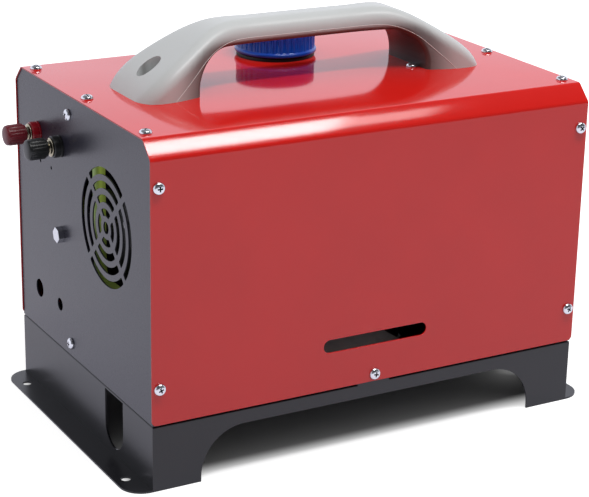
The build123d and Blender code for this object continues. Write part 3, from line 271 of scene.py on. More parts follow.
def soften(piece, width, steps=2, limit=38):
    """Breaks a piece's sharp edges as its maker's tool or its paint does, and shades it smooth."""
    take(piece)
    bpy.ops.object.shade_smooth_by_angle(angle=math.radians(limit))
    edge = piece.modifiers.new("broken edge", "BEVEL")
    edge.width = width * mm
    edge.segments = steps
    edge.limit_method = "ANGLE"
    edge.angle_limit = math.radians(limit)
    edge.harden_normals = True
    bpy.ops.object.modifier_apply(modifier=edge.name)


def fit(piece, body, slot, material, *stands_for):
    """Puts the finished piece at the origin, gives it its material and fixes it to what it moves with."""
    take(piece)
    bpy.ops.object.transform_apply(location=True, rotation=True, scale=True)
    piece.data.name = piece.name
    piece.data.materials.clear()
    piece.data.materials.append(material)
    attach(piece, body)
    if stands_for:
        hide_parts(*stands_for)


satin_black = finish("satin black powder coat", (0.012, 0.012, 0.015), 0.31, grain=1400, depth=0.06)
stand = sheet_form("base_tray", "stand")
soften(stand, 0.65, 3)
fit(stand, "heater", "base_paint", satin_black, "base_tray")

# ---- heater bracket ----
# A folded and welded carrier of galvanised 2 mm sheet bolted over the stand. The heater unit stands on it on
# a gasket, held by four studs and their serrated nuts.


def spangled(name, colour, roughness, scale):
    """Galvanised sheet: zinc crystals, each a slightly different grey and gloss."""
    material = finish(name, colour, roughness, grain=1200, depth=0.05, tone=0.05, metal=0.05)
    nodes, links = material.node_tree.nodes, material.node_tree.links
    crystals = nodes.new("ShaderNodeTexVoronoi")
    crystals.inputs["Scale"].default_value = scale
    grey = nodes.new("ShaderNodeRGBToBW")
    tint = two_colours(nodes, "SOFT_LIGHT", 0.35)
    links.new(nodes["place"].outputs["Object"], crystals.inputs["Vector"])
    links.new(crystals.outputs["Color"], grey.inputs["Color"])
    links.new(nodes["colours"].outputs["Color"], tint.inputs["A"])
    links.new(grey.outputs["Val"], tint.inputs["B"])
    links.new(tint.outputs["Result"], nodes["shader"].inputs["Base Color"])
    return material


def dress(material, *names):
    """Gives a solid that is already the right shape its real material."""
    for name in names:
        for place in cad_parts[name].material_slots:
            place.material = material


galvanised = spangled("galvanised sheet", (0.80, 0.81, 0.83), 0.50, 130)
carrier = sheet_form("heater_bracket", "carrier")
soften(carrier, 0.25)
fit(carrier, "heater", "brace_steel", galvanised, "heater_bracket")
zinc = finish("bright zinc plate", (0.70, 0.71, 0.74), 0.22, grain=2600, depth=0.05, tone=0.08, metal=1.0)
nodes, links = zinc.node_tree.nodes, zinc.node_tree.links
# Faces marked 'recess' are mixed towards a dark blue-grey: painted shade inside the screws' cross recesses.
recess = nodes.new("ShaderNodeAttribute")
recess.attribute_name = "recess"
recess_shade_mix = two_colours(nodes)
recess_shade_mix.inputs["B"].default_value = (0.035, 0.045, 0.055, 1)
links.new(recess.outputs["Fac"], recess_shade_mix.inputs["Factor"])
links.new(nodes["colours"].outputs["Color"], recess_shade_mix.inputs["A"])
links.new(recess_shade_mix.outputs["Result"], nodes["shader"].inputs["Base Color"])
dress(zinc, "heater_nuts")

# ---- burner and heat exchanger ----
# The burner tube of heat-resistant steel, straw and blue where it has run hot, sits inside a finned exchanger
# of cast aluminium. Its exhaust and combustion-air stubs point down through the stand.


def tinted(name, colour, hot, cool_end, hot_end, roughness):
    """Bare steel that turns straw, then blue, towards its hot end along X."""
    material = finish(name, colour, roughness, grain=1600, depth=0.08, tone=0.08, metal=1.0)
    nodes, links = material.node_tree.nodes, material.node_tree.links
    apart = nodes.new("ShaderNodeSeparateXYZ")
    along = slope(nodes, cool_end * mm, hot_end * mm, curve="LINEAR")
    heat = nodes.new("ShaderNodeValToRGB")
    heat.color_ramp.elements[0].color = (1, 1, 1, 1)
    heat.color_ramp.elements[1].color = (*hot, 1)
    heat.color_ramp.elements.new(0.55).color = (1.0, 0.78, 0.45, 1)
    tint = two_colours(nodes, "MULTIPLY", 0.85)
    links.new(nodes["place"].outputs["Object"], apart.inputs["Vector"])
    links.new(apart.outputs["X"], along.inputs["Value"])
    links.new(along.outputs["Result"], heat.inputs["Fac"])
    links.new(nodes["colours"].outputs["Color"], tint.inputs["A"])
    links.new(heat.outputs["Color"], tint.inputs["B"])
    links.new(tint.outputs["Result"], nodes["shader"].inputs["Base Color"])
    return material


cast = finish("sand-cast aluminium", (0.50, 0.50, 0.50), 0.52, grain=520, depth=0.55, tone=0.14, metal=1.0)
dress(cast, "heat_exchanger", "blower_housing")
burner_steel = tinted("heat-tinted burner steel", (0.55, 0.53, 0.50), (0.35, 0.42, 0.75), -85, 20, 0.38)
dress(burner_steel, "burner_tube", "glow_plug")
stub_steel = finish(
    "rolled steel tube", (0.46, 0.46, 0.47), 0.40, grain=1500, depth=0.10, tone=0.16, metal=1.0)
dress(stub_steel, "exhaust_pipe", "air_intake_pipe")

# ---- blower, fan and control board ----
# One motor turns both wheels: the small one of black nylon feeds the flame, the nine-bladed one, of the same
# nylon, draws the cabin's air in through the grille. The board rides on top, under the casing.
can_steel = finish("drawn motor can", (0.55, 0.55, 0.56), 0.30, grain=1800, depth=0.05, tone=0.06, metal=1.0)
dress(can_steel, "blower_motor", "motor_shaft")
black_nylon = finish("black glass-filled nylon", (0.012, 0.012, 0.013), 0.44, grain=1100, depth=0.16)
dress(black_nylon, "fan_impeller", "combustion_impeller", "overheat_sensor")
board = finish("green solder mask", (0.006, 0.075, 0.030), 0.28, grain=2000, depth=0.04, tone=0.08)
nodes, links = board.node_tree.nodes, board.node_tree.links
tracks = nodes.new("ShaderNodeTexBrick")
tracks.inputs["Scale"].default_value = 160.0
tracks.inputs["Color1"].default_value = (1, 1, 1, 1)
tracks.inputs["Color2"].default_value = (0.82, 0.95, 0.82, 1)
tracks.inputs["Mortar"].default_value = (1.0, 1.9, 0.9, 1)
tracks.inputs["Mortar Size"].default_value = 0.03
printed = two_colours(nodes, "MULTIPLY", 1.0)
links.new(nodes["place"].outputs["Object"], tracks.inputs["Vector"])
links.new(nodes["colours"].outputs["Color"], printed.inputs["A"])
links.new(tracks.outputs["Color"], printed.inputs["B"])
links.new(printed.outputs["Result"], nodes["shader"].inputs["Base Color"])
dress(board, "control_board")

# ---- casing and intake duct ----
# Two moulded half shells of matt black plastic snap round the unit. A short square duct of glossy yellow-
# green plastic, seen through the grille, leads the air from the grille to the fan. The duct glows with
# painted light, brightest at the top, in painted highlight streaks that fade to painted shade deeper in. A
# black strip lines the duct's rear half, and two more lie under the cover's long edges: dark sheets put
# where there is only shade.
heater_y, heater_z = -50.5, 192.0
near = 0.05 * mm


def pick(piece, kind, test):
    """Selects the vertices, edges or faces of the piece in edit mode that pass a test of where they are."""
    bpy.ops.mesh.select_mode(type=kind)
    bpy.ops.mesh.select_all(action="DESELECT")
    form = bmesh.from_edit_mesh(piece.data)
    if kind == "VERT":
        chosen = [point for point in form.verts if test(point.co)]
    elif kind == "EDGE":
        chosen = [edge for edge in form.edges if test(*(point.co for point in edge.verts))]
    else:
        chosen = [face for face in form.faces if test(face.calc_center_median(), face.normal)]
    for part in chosen:
        part.select_set(True)
    form.select_flush_mode()
    bmesh.update_edit_mesh(piece.data)


def block(name, middle, size, turn=0.0):
    """Block round its middle, in millimetres, turned round Z, to be shaped further."""
    bpy.ops.mesh.primitive_cube_add(
        size=1, location=[value * mm for value in middle], scale=[value * mm for value in size],
        rotation=(0, 0, turn))
    piece = bpy.context.object
    piece.name = name
    bpy.ops.object.transform_apply(location=True, rotation=True, scale=True)
    return piece


def round_along(piece, axis, radius, steps):
    """Rounds the edges that run along one axis."""
    bpy.ops.object.mode_set(mode="EDIT")
    pick(piece, "EDGE", lambda a, b: abs(a[axis] - b[axis]) > near)
    bpy.ops.mesh.bevel(offset=radius * mm, segments=steps)
    bpy.ops.object.mode_set(mode="OBJECT")


def give_wall(piece, thickness):
    """Gives an open form the thickness of its sheet, on the inside."""
    wall = piece.modifiers.new("wall", "SOLIDIFY")
    wall.thickness = thickness * mm
    wall.offset = -1.0
    bpy.ops.object.modifier_apply(modifier=wall.name)


black_shell = finish("matt black moulded casing", (0.010, 0.010, 0.010), 0.55, grain=700, depth=0.22)
dress(black_shell, "heater_casing_upper", "heater_casing_lower")
duct_green = finish("glossy yellow-green plastic", (0.62, 0.80, 0.24), 0.16, grain=900, depth=0.03, tone=0.06)
nodes, links = duct_green.node_tree.nodes, duct_green.node_tree.links
# Painted light: the emission makes the duct glow, brighter upwards, with light and dark streaks along X that
# stand for highlights and for the shade deeper in the duct.
apart = nodes.new("ShaderNodeSeparateXYZ")
depthwise = slope(nodes, -187.0 * mm, -176.0 * mm, curve="LINEAR")
highlight_streaks = nodes.new("ShaderNodeValToRGB")
highlight_streaks.color_ramp.elements[0].color = (0.70, 0.92, 0.45, 1)
highlight_streaks.color_ramp.elements[1].color = (0.40, 0.50, 0.06, 1)
highlight_streaks.color_ramp.elements.new(0.30).color = (0.22, 0.30, 0.06, 1)
highlight_streaks.color_ramp.elements.new(0.55).color = (0.58, 0.74, 0.12, 1)
highlight_streaks.color_ramp.elements.new(0.80).color = (0.26, 0.34, 0.05, 1)
glow_upwards = slope(nodes, 150.0 * mm, 226.0 * mm, 0.12)
painted_glow = nodes.new("ShaderNodeVectorMath")
painted_glow.operation = "SCALE"
links.new(nodes["place"].outputs["Object"], apart.inputs["Vector"])
links.new(apart.outputs["X"], depthwise.inputs["Value"])
links.new(depthwise.outputs["Result"], highlight_streaks.inputs["Fac"])
links.new(apart.outputs["Z"], glow_upwards.inputs["Value"])
links.new(highlight_streaks.outputs["Color"], painted_glow.inputs[0])
links.new(glow_upwards.outputs["Result"], painted_glow.inputs["Scale"])
links.new(painted_glow.outputs["Vector"], nodes["shader"].inputs["Emission Color"])
nodes["shader"].inputs["Emission Strength"].default_value = 0.24
duct = sheet_form("intake_ring", "intake_duct")
soften(duct, 0.3)
fit(duct, "heater", "ring_plastic", duct_green, "intake_ring")

# Painted shade: black strips put where there is only shade. One lines the duct's rear half, and two sit
# behind the gap under the cover's long edges.
shade_black = finish("black shade strip", (0.008, 0.008, 0.008), 0.9, grain=1100, depth=0.6)
strip = block("duct_shade_liner", (-172.6, heater_y, heater_z), (8.8, 101.8, 121.8))
round_along(strip, 0, 10.9, 6)
bpy.ops.object.mode_set(mode="EDIT")
pick(strip, "FACE", lambda middle, normal: abs(normal.x) > 0.9)
bpy.ops.mesh.delete(type="FACE")
bpy.ops.object.mode_set(mode="OBJECT")
give_wall(strip, 1.5)
soften(strip, 0.4, 2, 40)
fit(strip, "heater", "casing_plastic", shade_black)
for side, name in ((-1, "gap_shade_strip_front"), (1, "gap_shade_strip_back")):
    gap_shade_strip = block(name, (0, side * 129.9, 58.2), (360.0, 4.8, 6.2))
    soften(gap_shade_strip, 1.2, 4, 40)
    fit(gap_shade_strip, "heater", "casing_plastic", shade_black)

# ---- warm-air outlet ----
# A moulding in black nylon, its flange against the inside of the right end. A raised bead round its spigot
# keeps the duct hose from slipping off.


def turned(name, outline, steps=48, closed=False):
    """Piece turned on a lathe round Z: an outline of radius and height, in millimetres, swept once round."""
    bpy.ops.mesh.primitive_circle_add(vertices=len(outline), fill_type="NOTHING")
    piece = bpy.context.object
    piece.name = name
    for point, (radius, height) in zip(piece.data.vertices, outline):
        point.co = (radius * mm, 0, height * mm)
    bpy.ops.object.mode_set(mode="EDIT")
    if not closed:
        ends = {0, len(outline) - 1}
        bpy.ops.mesh.select_mode(type="EDGE")
        bpy.ops.mesh.select_all(action="DESELECT")
        form = bmesh.from_edit_mesh(piece.data)
        for edge in form.edges:
            edge.select_set({point.index for point in edge.verts} == ends)
        bmesh.update_edit_mesh(piece.data)
        bpy.ops.mesh.delete(type="EDGE_FACE")
    bpy.ops.mesh.select_mode(type="VERT")
    bpy.ops.mesh.select_all(action="SELECT")
    bpy.ops.mesh.spin(steps=steps, angle=math.tau, center=(0, 0, 0), axis=(0, 0, 1))
    bpy.ops.mesh.select_all(action="SELECT")
    bpy.ops.mesh.remove_doubles(threshold=0.002 * mm)
    bpy.ops.mesh.normals_make_consistent(inside=False)
    bpy.ops.object.mode_set(mode="OBJECT")
    return piece


def aimed(place, along, turn=0.0):
    """Where a piece goes: to a place in millimetres, its Z axis along a direction, turned round that axis."""
    facing = Vector(along).to_track_quat("Z", "Y").to_matrix().to_4x4()
    return Matrix.Translation(Vector(place) * mm) @ facing @ Matrix.Rotation(turn, 4, "Z")


def set_at(pattern, name, place, along, turn=0.0):
    """Copy of a piece, with its own mesh, in its place."""
    piece = bpy.data.objects.new(name, pattern.data.copy())
    scene.collection.objects.link(piece)
    piece.matrix_world = aimed(place, along, turn)
    return piece


nylon_black = finish("satin black nylon", (0.016, 0.016, 0.017), 0.36, grain=1300, depth=0.12)
bore = [(33.6, 228.0), (33.6, 199.0), (34.2, 190.0), (37.0, 172.0), (44.0, 158.4), (45.6, 158.4)]
mouth = [
    (45.6, 160.0), (39.2, 174.0), (36.4, 190.0), (36.4, 198.9),
    (45.6, 198.9), (46.0, 199.3), (46.0, 201.0), (45.5, 201.5)]
neck = [
    (38.4, 201.5), (37.4, 202.3), (35.6, 203.0), (35.5, 220.6), (36.2, 221.4), (37.3, 222.0),
    (37.3, 223.4), (36.0, 224.4), (35.5, 225.2), (35.5, 227.5), (35.0, 228.0)]
spigot = turned("outlet_nozzle", bore + mouth + neck, 96, True)
soften(spigot, 0.15, 1, 30)
spigot.matrix_world = aimed((0, heater_y, heater_z), (1, 0, 0))
fit(spigot, "heater", "spigot_plastic", nylon_black, "outlet_spigot")

# ---- fuel tank ----
# A blow-moulded tank of black polyethylene with a soft orange-peel skin, held down by two steel straps. A
# pickup tube hangs through its top.
tank_black = finish(
    "black blow-moulded polyethylene", (0.014, 0.014, 0.015), 0.38, grain=260, depth=0.30, tone=0.10)
dress(tank_black, "fuel_tank", "fuel_pickup")
strap_steel = finish(
    "rolled strap steel", (0.55, 0.55, 0.56), 0.33, grain=1500, depth=0.10, tone=0.08, metal=1.0)
dress(strap_steel, "tank_straps")

# ---- filter, pump and hoses ----
# Fuel runs through a rubber hose into a clear moulded filter, on into the plated dosing pump in its rubber
# clip, and through a thin milk-white nylon pipe to the burner.
filter_clear = finish("clear amber filter bowl", (0.80, 0.74, 0.55), 0.14, grain=700, depth=0.03, tone=0.04)
filter_clear.node_tree.nodes["shader"].inputs["Transmission Weight"].default_value = 0.35
dress(filter_clear, "fuel_filter")
plated = finish("plated pump body", (0.62, 0.60, 0.55), 0.27, grain=1700, depth=0.06, tone=0.07, metal=1.0)
dress(plated, "pump_body", "pump_plunger", "pump_spring")
rubber = finish("black hose rubber", (0.014, 0.014, 0.014), 0.62, grain=620, depth=0.30)
dress(rubber, "pump_clip", "suction_hose", "pump_inlet_hose")
milky = finish("milk-white nylon pipe", (0.74, 0.74, 0.69), 0.30, grain=800, depth=0.05, tone=0.04)
milky.node_tree.nodes["shader"].inputs["Subsurface Weight"].default_value = 0.25
milky.node_tree.nodes["shader"].inputs["Subsurface Scale"].default_value = 1.5 * mm
dress(milky, "delivery_pipe")

# ---- end panels ----
# Each end is a 1.2 mm steel sheet with three edges folded inwards, painted satin graphite. The left one
# has the punched grille over the fan, and holes for the terminals, the pump's bolt and the cables. Both hang
# clear of the stand, which leaves a dark line under them.
panel_face = 199.0
stand_top, clear_by = 55.3, 0.9
graphite = finish("satin graphite paint", (0.030, 0.028, 0.046), 0.29, grain=1500, depth=0.08, tone=0.05)
left_end = sheet_form("left_end_panel", "left_end")
right_end = sheet_form("right_end_panel", "right_end")
for panel in (left_end, right_end):
    take(panel)
    bpy.ops.object.mode_set(mode="EDIT")
    pick(panel, "VERT", lambda point: point.z < stand_top * mm)
    bpy.ops.transform.translate(value=(0, 0, clear_by * mm))
    bpy.ops.object.mode_set(mode="OBJECT")
    soften(panel, 0.2)
fit(left_end, "heater", "panel_paint", graphite, "left_end_panel")
fit(right_end, "heater", "panel_paint", graphite, "right_end_panel")

# ---- hex bolt ----
# The bolt that clamps the pump's clip inside the panel: a forged and plated hexagon head with a chamfered
# top, on a shank that goes through the panel.
head_radius, head_height, shank_length = 6.9, 5.4, 14.0
bpy.ops.mesh.primitive_cylinder_add(
    vertices=6, radius=head_radius * mm, depth=head_height * mm, location=(0, 0, head_height / 2 * mm))
clip_bolt = bpy.context.object
clip_bolt.name = "clip_bolt"
bpy.ops.object.transform_apply(location=True, rotation=True, scale=True)
bpy.ops.object.mode_set(mode="EDIT")
pick(clip_bolt, "FACE", lambda middle, normal: normal.z > 0.9)
bpy.ops.mesh.inset(thickness=0.9 * mm)
bpy.ops.transform.translate(value=(0, 0, 0.45 * mm))
pick(clip_bolt, "FACE", lambda middle, normal: normal.z < -0.9)
bpy.ops.mesh.inset(thickness=2.9 * mm)
bpy.ops.mesh.extrude_region_move(TRANSFORM_OT_translate={"value": (0, 0, -shank_length * mm)})
bpy.ops.object.mode_set(mode="OBJECT")
soften(clip_bolt, 0.25, 2, 25)
clip_head = set_at(clip_bolt, "clip_bolt_head", (-panel_face, 40.8, 158.7), (-1, 0, 0), 0.3)
bpy.data.objects.remove(clip_bolt, do_unlink=True)
fit(clip_head, "heater", "zinc_steel", zinc, "pump_bolt")

# ---- terminals ----
# Two binding posts for the supply, moulded in dark red and in black. Each has a gloss collar against the
# panel, a bright flaring washer that grips the wire, and a ribbed knob that screws down a brass stud.
collar_length, washer_length, post_height = 8.0, 4.0, 234.5


def ribbed(piece, ribs, inner, low, high, depth):
    """Pulls in the lines between the ribs of a turned piece, outside a radius and between two heights."""
    take(piece)
    bpy.ops.object.mode_set(mode="EDIT")
    for share, factor in ((0.5, 1.0), (0.25, 0.55), (0.75, 0.55)):
        def between(point):
            radius = math.hypot(point.x, point.y)
            turn = (math.atan2(point.y, point.x) / math.tau * ribs) % 1.0
            return abs(turn - share) < 0.05 and low * mm < point.z < high * mm and radius > inner * mm
        pick(piece, "VERT", between)
        scale = 1 - factor * depth
        bpy.ops.transform.resize(value=(scale, scale, 1), center_override=(0, 0, 0))
    bpy.ops.object.mode_set(mode="OBJECT")


bright_brass = finish(
    "bright nickelled brass", (0.38, 0.34, 0.25), 0.22, grain=1500, depth=0.03, tone=0.05, metal=1.0)
dress(bright_brass, "terminal_studs", "terminal_nuts")
post_red = finish("dark red post moulding", (0.150, 0.006, 0.014), 0.38, grain=1500, depth=0.05, tone=0.06)
post_black = finish("black post moulding", (0.008, 0.009, 0.009), 0.38, grain=1500, depth=0.05, tone=0.06)
collar_red = finish(
    "glossy red collar moulding", (0.290, 0.004, 0.012), 0.22, grain=1500, depth=0.03, tone=0.06)
collar_form = turned("collar", [
    (4.1, 0.0), (4.1, 8.0), (7.2, 8.0), (8.4, 7.7), (9.0, 7.0), (9.1, 2.4), (8.7, 2.2), (8.7, 1.7),
    (9.2, 1.5), (9.2, 0.3), (8.9, 0.0)], 72, True)
soften(collar_form, 0.12, 2, 20)
washer_form = turned("washer", [
    (4.5, 0.0), (4.5, 3.9), (5.5, 3.9), (5.2, 2.9), (5.8, 2.0), (7.2, 1.3), (7.8, 0.8), (7.8, 0.3),
    (7.4, 0.0)], 72, True)
soften(washer_form, 0.1, 2, 20)
knob_form = turned("knob", [
    (0, 18.0), (3.2, 17.9), (6.0, 17.6), (7.4, 17.1), (8.1, 16.4), (8.35, 15.6), (8.35, 14.9), (8.7, 14.4),
    (8.7, 9.0), (8.7, 2.7), (8.5, 2.2), (7.7, 2.0), (7.3, 1.6), (7.3, 0.2), (7.1, 0.0), (4.6, 0.0),
    (4.6, 13.6), (0, 13.6)], 96)
ribbed(knob_form, 24, 8.6, 2.5, 14.7, 0.038)
soften(knob_form, 0.08, 1, 35)
outward = (-1, 0, 0)
for pole, y, paint, gloss in (
    ("positive", 88.5, post_red, collar_red),
    ("negative", 41.0, post_black, post_black),
):
    reach = -panel_face
    collar = set_at(collar_form, pole + "_collar_moulding", (reach, y, post_height), outward)
    fit(collar, "heater", pole + "_plastic", gloss, pole + "_collar")
    reach -= collar_length
    washer = set_at(washer_form, pole + "_grip_washer", (reach, y, post_height), outward)
    fit(washer, pole + "_travel", "terminal_brass", bright_brass, pole + "_washer")
    reach -= washer_length
    knob = set_at(knob_form, pole + "_knob_moulding", (reach, y, post_height), outward, 0.05)
    fit(knob, pole + "_knob", pole + "_plastic", paint, pole + "_knob")
for form in (collar_form, washer_form, knob_form):
    bpy.data.objects.remove(form, do_unlink=True)
lead_red = finish("red cable sheath", (0.32, 0.010, 0.010), 0.36, grain=800, depth=0.08, tone=0.06)
lead_black = finish("black cable sheath", (0.012, 0.012, 0.012), 0.36, grain=800, depth=0.08, tone=0.06)
dress(lead_red, "positive_lead")
dress(lead_black, "negative_lead")

# ---- controller ----
# A flat wall controller with rounded corners in grained black plastic, a glossy dark window and four round
# rubber keys. Their raised marks are the plain ones for on/off, settings, up and down.
face_x, controller_z, window_y = 211.0, 215.0, 96.0
key_places = {
    "power_button": (36.0, 224.5),
    "settings_button": (36.0, 205.5),
    "up_button": (55.0, 224.5),
    "down_button": (55.0, 205.5),
}
key_back, key_hole_radius, mark_base = 206.4, 5.3, 212.72


def cut(piece, tool):
    """Cuts a tool's shape out of the piece and clears the tool away."""
    take(piece)
    punch = piece.modifiers.new("punch", "BOOLEAN")
    punch.object = tool
    punch.operation = "DIFFERENCE"
    punch.solver = "EXACT"
    bpy.ops.object.modifier_apply(modifier=punch.name)
    bpy.data.objects.remove(tool, do_unlink=True)


def together(name, pieces):
    """Joins like pieces into one object."""
    take(pieces[0])
    for piece in pieces[1:]:
        piece.select_set(True)
    if len(pieces) > 1:
        bpy.ops.object.join()
    joined = bpy.context.object
    joined.name = name
    return joined


grained = finish("grained black controller case", (0.016, 0.016, 0.017), 0.48, grain=850, depth=0.28)
remote = block("controller_housing", (205.0, 74.0, controller_z), (12.0, 100.0, 52.0))
round_along(remote, 0, 6.0, 8)
bpy.ops.object.mode_set(mode="EDIT")
pick(remote, "EDGE", lambda a, b: min(a.x, b.x) > (face_x - 0.1) * mm)
bpy.ops.mesh.bevel(offset=1.2 * mm, segments=4)
bpy.ops.object.mode_set(mode="OBJECT")
window_seat = block("window_seat", (face_x, window_y, controller_z), (4.0, 44.4, 26.4))
round_along(window_seat, 0, 2.0, 5)
holes = [window_seat]
for y, z in key_places.values():
    bpy.ops.mesh.primitive_cylinder_add(
        vertices=48, radius=key_hole_radius * mm, depth=9.0 * mm, location=(face_x * mm, y * mm, z * mm),
        rotation=(0, math.pi / 2, 0))
    holes.append(bpy.context.object)
cut(remote, together("holes", holes))
soften(remote, 0.15, 2, 35)
fit(remote, "heater", "controller_plastic", grained, "controller_case")
dark_glass = finish(
    "smoked window", (0.006, 0.008, 0.009), 0.06, grain=500, depth=0.004, tone=0.2, spread=0.01, coat=0.5)
window = block("controller_glass", (face_x - 1.0, window_y, controller_z), (2.0, 44.0, 26.0))
round_along(window, 0, 1.8, 5)
soften(window, 0.25, 3, 35)
fit(window, "heater", "window_plastic", dark_glass, "controller_window")

key_rubber = finish("grey key rubber", (0.10, 0.10, 0.105), 0.55, grain=900, depth=0.14, tone=0.05)
nodes, links = key_rubber.node_tree.nodes, key_rubber.node_tree.links
apart = nodes.new("ShaderNodeSeparateXYZ")
raised = maths(nodes, "GREATER_THAN", mark_base * mm)
printed = two_colours(nodes)
printed.inputs["B"].default_value = (0.75, 0.76, 0.76, 1)
links.new(nodes["place"].outputs["Object"], apart.inputs["Vector"])
links.new(apart.outputs["X"], raised.inputs[0])
links.new(raised.outputs[0], printed.inputs["Factor"])
links.new(nodes["colours"].outputs["Color"], printed.inputs["A"])
links.new(printed.outputs["Result"], nodes["shader"].inputs["Base Color"])
key_form = turned("key", [
    (0, 6.2), (2.6, 6.15), (4.2, 5.95), (4.8, 5.5), (5.0, 4.9), (5.0, 1.5), (6.0, 1.5), (6.2, 1.3),
    (6.2, 0.2), (6.0, 0.0), (0, 0.0)], 48)
soften(key_form, 0.1, 1, 40)
mark_middle, mark_depth = 6.15, 0.5


def ring_mark(radius, gap):
    """Raised ring on a key, open at the top over an angle in degrees."""
    outline = [(radius - 0.35, 5.9), (radius - 0.35, 6.4), (radius + 0.35, 6.4), (radius + 0.35, 5.9)]
    mark = turned("mark", outline, 48, True)
    if gap:
        def in_gap(middle, normal):
            return abs(math.degrees(math.atan2(middle.x, -middle.y))) < gap / 2
        bpy.ops.object.mode_set(mode="EDIT")
        pick(mark, "FACE", in_gap)
        bpy.ops.mesh.delete(type="FACE")
        bpy.ops.mesh.select_all(action="SELECT")
        bpy.ops.mesh.fill_holes(sides=4)
        bpy.ops.mesh.normals_make_consistent(inside=False)
        bpy.ops.object.mode_set(mode="OBJECT")
    return mark


def bar_mark(x, y, length, width, turn=0.0):
    """Raised bar on a key."""
    mark = block("mark", (x, y, mark_middle), (length, width, mark_depth), turn)
    round_along(mark, 2, 0.15, 2)
    return mark


def arrow_mark(y, turn):
    """Raised triangle on a key."""
    bpy.ops.mesh.primitive_cylinder_add(
        vertices=3, radius=2.3 * mm, depth=mark_depth * mm, location=(0, y * mm, mark_middle * mm),
        rotation=(0, 0, turn))
    mark = bpy.context.object
    bpy.ops.object.transform_apply(location=True, rotation=True, scale=True)
    round_along(mark, 2, 0.15, 2)
    return mark


teeth = [step * math.tau / 8 for step in range(8)]
marks = {
    "power_button": [ring_mark(1.9, 70), bar_mark(0, -1.6, 0.7, 2.2)],
    "settings_button": [ring_mark(1.3, 0)] + [
        bar_mark(2.0 * math.cos(turn), 2.0 * math.sin(turn), 0.9, 0.6, turn) for turn in teeth],
    "up_button": [arrow_mark(0.3, math.pi)],
    "down_button": [arrow_mark(-0.3, 0.0)],
}
for name, (y, z) in key_places.items():
    key = set_at(key_form, "blank", (0, 0, 0), (0, 0, 1))
    key = together(name + "_key", [key] + marks[name])
    key.matrix_world = aimed((key_back, y, z), (1, 0, 0))
    fit(key, name, "button_rubber", key_rubber, name)
bpy.data.objects.remove(key_form, do_unlink=True)

# ---- cover ----
# One 1.2 mm sheet folded over the front, top and back, with a chamfer along each long edge. It is sprayed
# and baked gloss red over the folds and the cut edges, and a long slot is punched low in front and back.
half_length, half_depth, top, low = 200.0, 135.5, 283.0, 56.5
chamfer_leg, fold, corner_radius, sheet = 13.3, 1.75, 4.0, 1.2
filler_x, filler_y = 18.0, 74.5
gloss_red = finish(
    "baked gloss red", (0.68, 0.014, 0.010), 0.085, grain=420, depth=0.008, tone=0.03, spread=0.02)
cover = block("cover", (0, 0, (low + top) / 2), (2 * half_length, 2 * half_depth, top - low))
bpy.ops.object.mode_set(mode="EDIT")
pick(cover, "EDGE", lambda a, b: min(a.z, b.z) > top * mm - near and abs(a.y - b.y) < near)
bpy.ops.mesh.bevel(offset=chamfer_leg * mm, segments=1)
pick(cover, "EDGE", lambda a, b: (
    abs(a.y - b.y) < near and abs(a.z - b.z) < near and min(a.z, b.z) > (top - chamfer_leg) * mm - near))
bpy.ops.mesh.bevel(offset=fold * mm, segments=6)
pick(cover, "FACE", lambda middle, normal: abs(normal.x) > 0.9 or normal.z < -0.9)
bpy.ops.mesh.delete(type="FACE")
pick(cover, "VERT", lambda point: point.z < low * mm + near)
bpy.ops.mesh.bevel(offset=corner_radius * mm, segments=6, affect="VERTICES")
bpy.ops.object.mode_set(mode="OBJECT")
give_wall(cover, sheet)
slot = block("slot", (0, 0, 94.5), (97.0, 300.0, 11.0))
round_along(slot, 1, 5.49, 12)
bpy.ops.mesh.primitive_cylinder_add(
    vertices=96, radius=30.0 * mm, depth=20.0 * mm, location=(filler_x * mm, filler_y * mm, top * mm))
cut(cover, together("punch", [slot, bpy.context.object]))
soften(cover, 0.25)
fit(cover, "heater", "case_paint", gloss_red, "outer_cover")

# ---- screws ----
# Zinc-plated pan-head screws with a cross recess hold the cover and both end panels. Each is turned tight,
# at whatever angle its cross stopped.


def cross_recess(screw, top, width, length, depth):
    """Cuts a tapered cross into a screw's head and marks its walls for painted shade, which darkens the
    recess.
    """
    arms = []
    for turn in (0, 1):
        arm = block("arm", (0, 0, top), (length, width, 2 * depth))
        bpy.ops.object.mode_set(mode="EDIT")
        pick(arm, "VERT", lambda point: point.z < top * mm)
        bpy.ops.transform.resize(value=(0.45, 0.7, 1.0))
        bpy.ops.object.mode_set(mode="OBJECT")
        arm.rotation_euler.z = turn * math.pi / 2
        bpy.ops.object.transform_apply(location=False, rotation=True, scale=False)
        arms.append(arm)
    for arm in arms:
        cut(screw, arm)
    walls = screw.data.attributes.new("recess", "FLOAT", "FACE")
    for face, mark in zip(screw.data.polygons, walls.data):
        middle = face.center / mm
        sunk = top - depth - 0.1 < middle.z < top - 0.3
        mark.value = float(sunk and math.hypot(middle.x, middle.y) < length / 2 + 0.1)


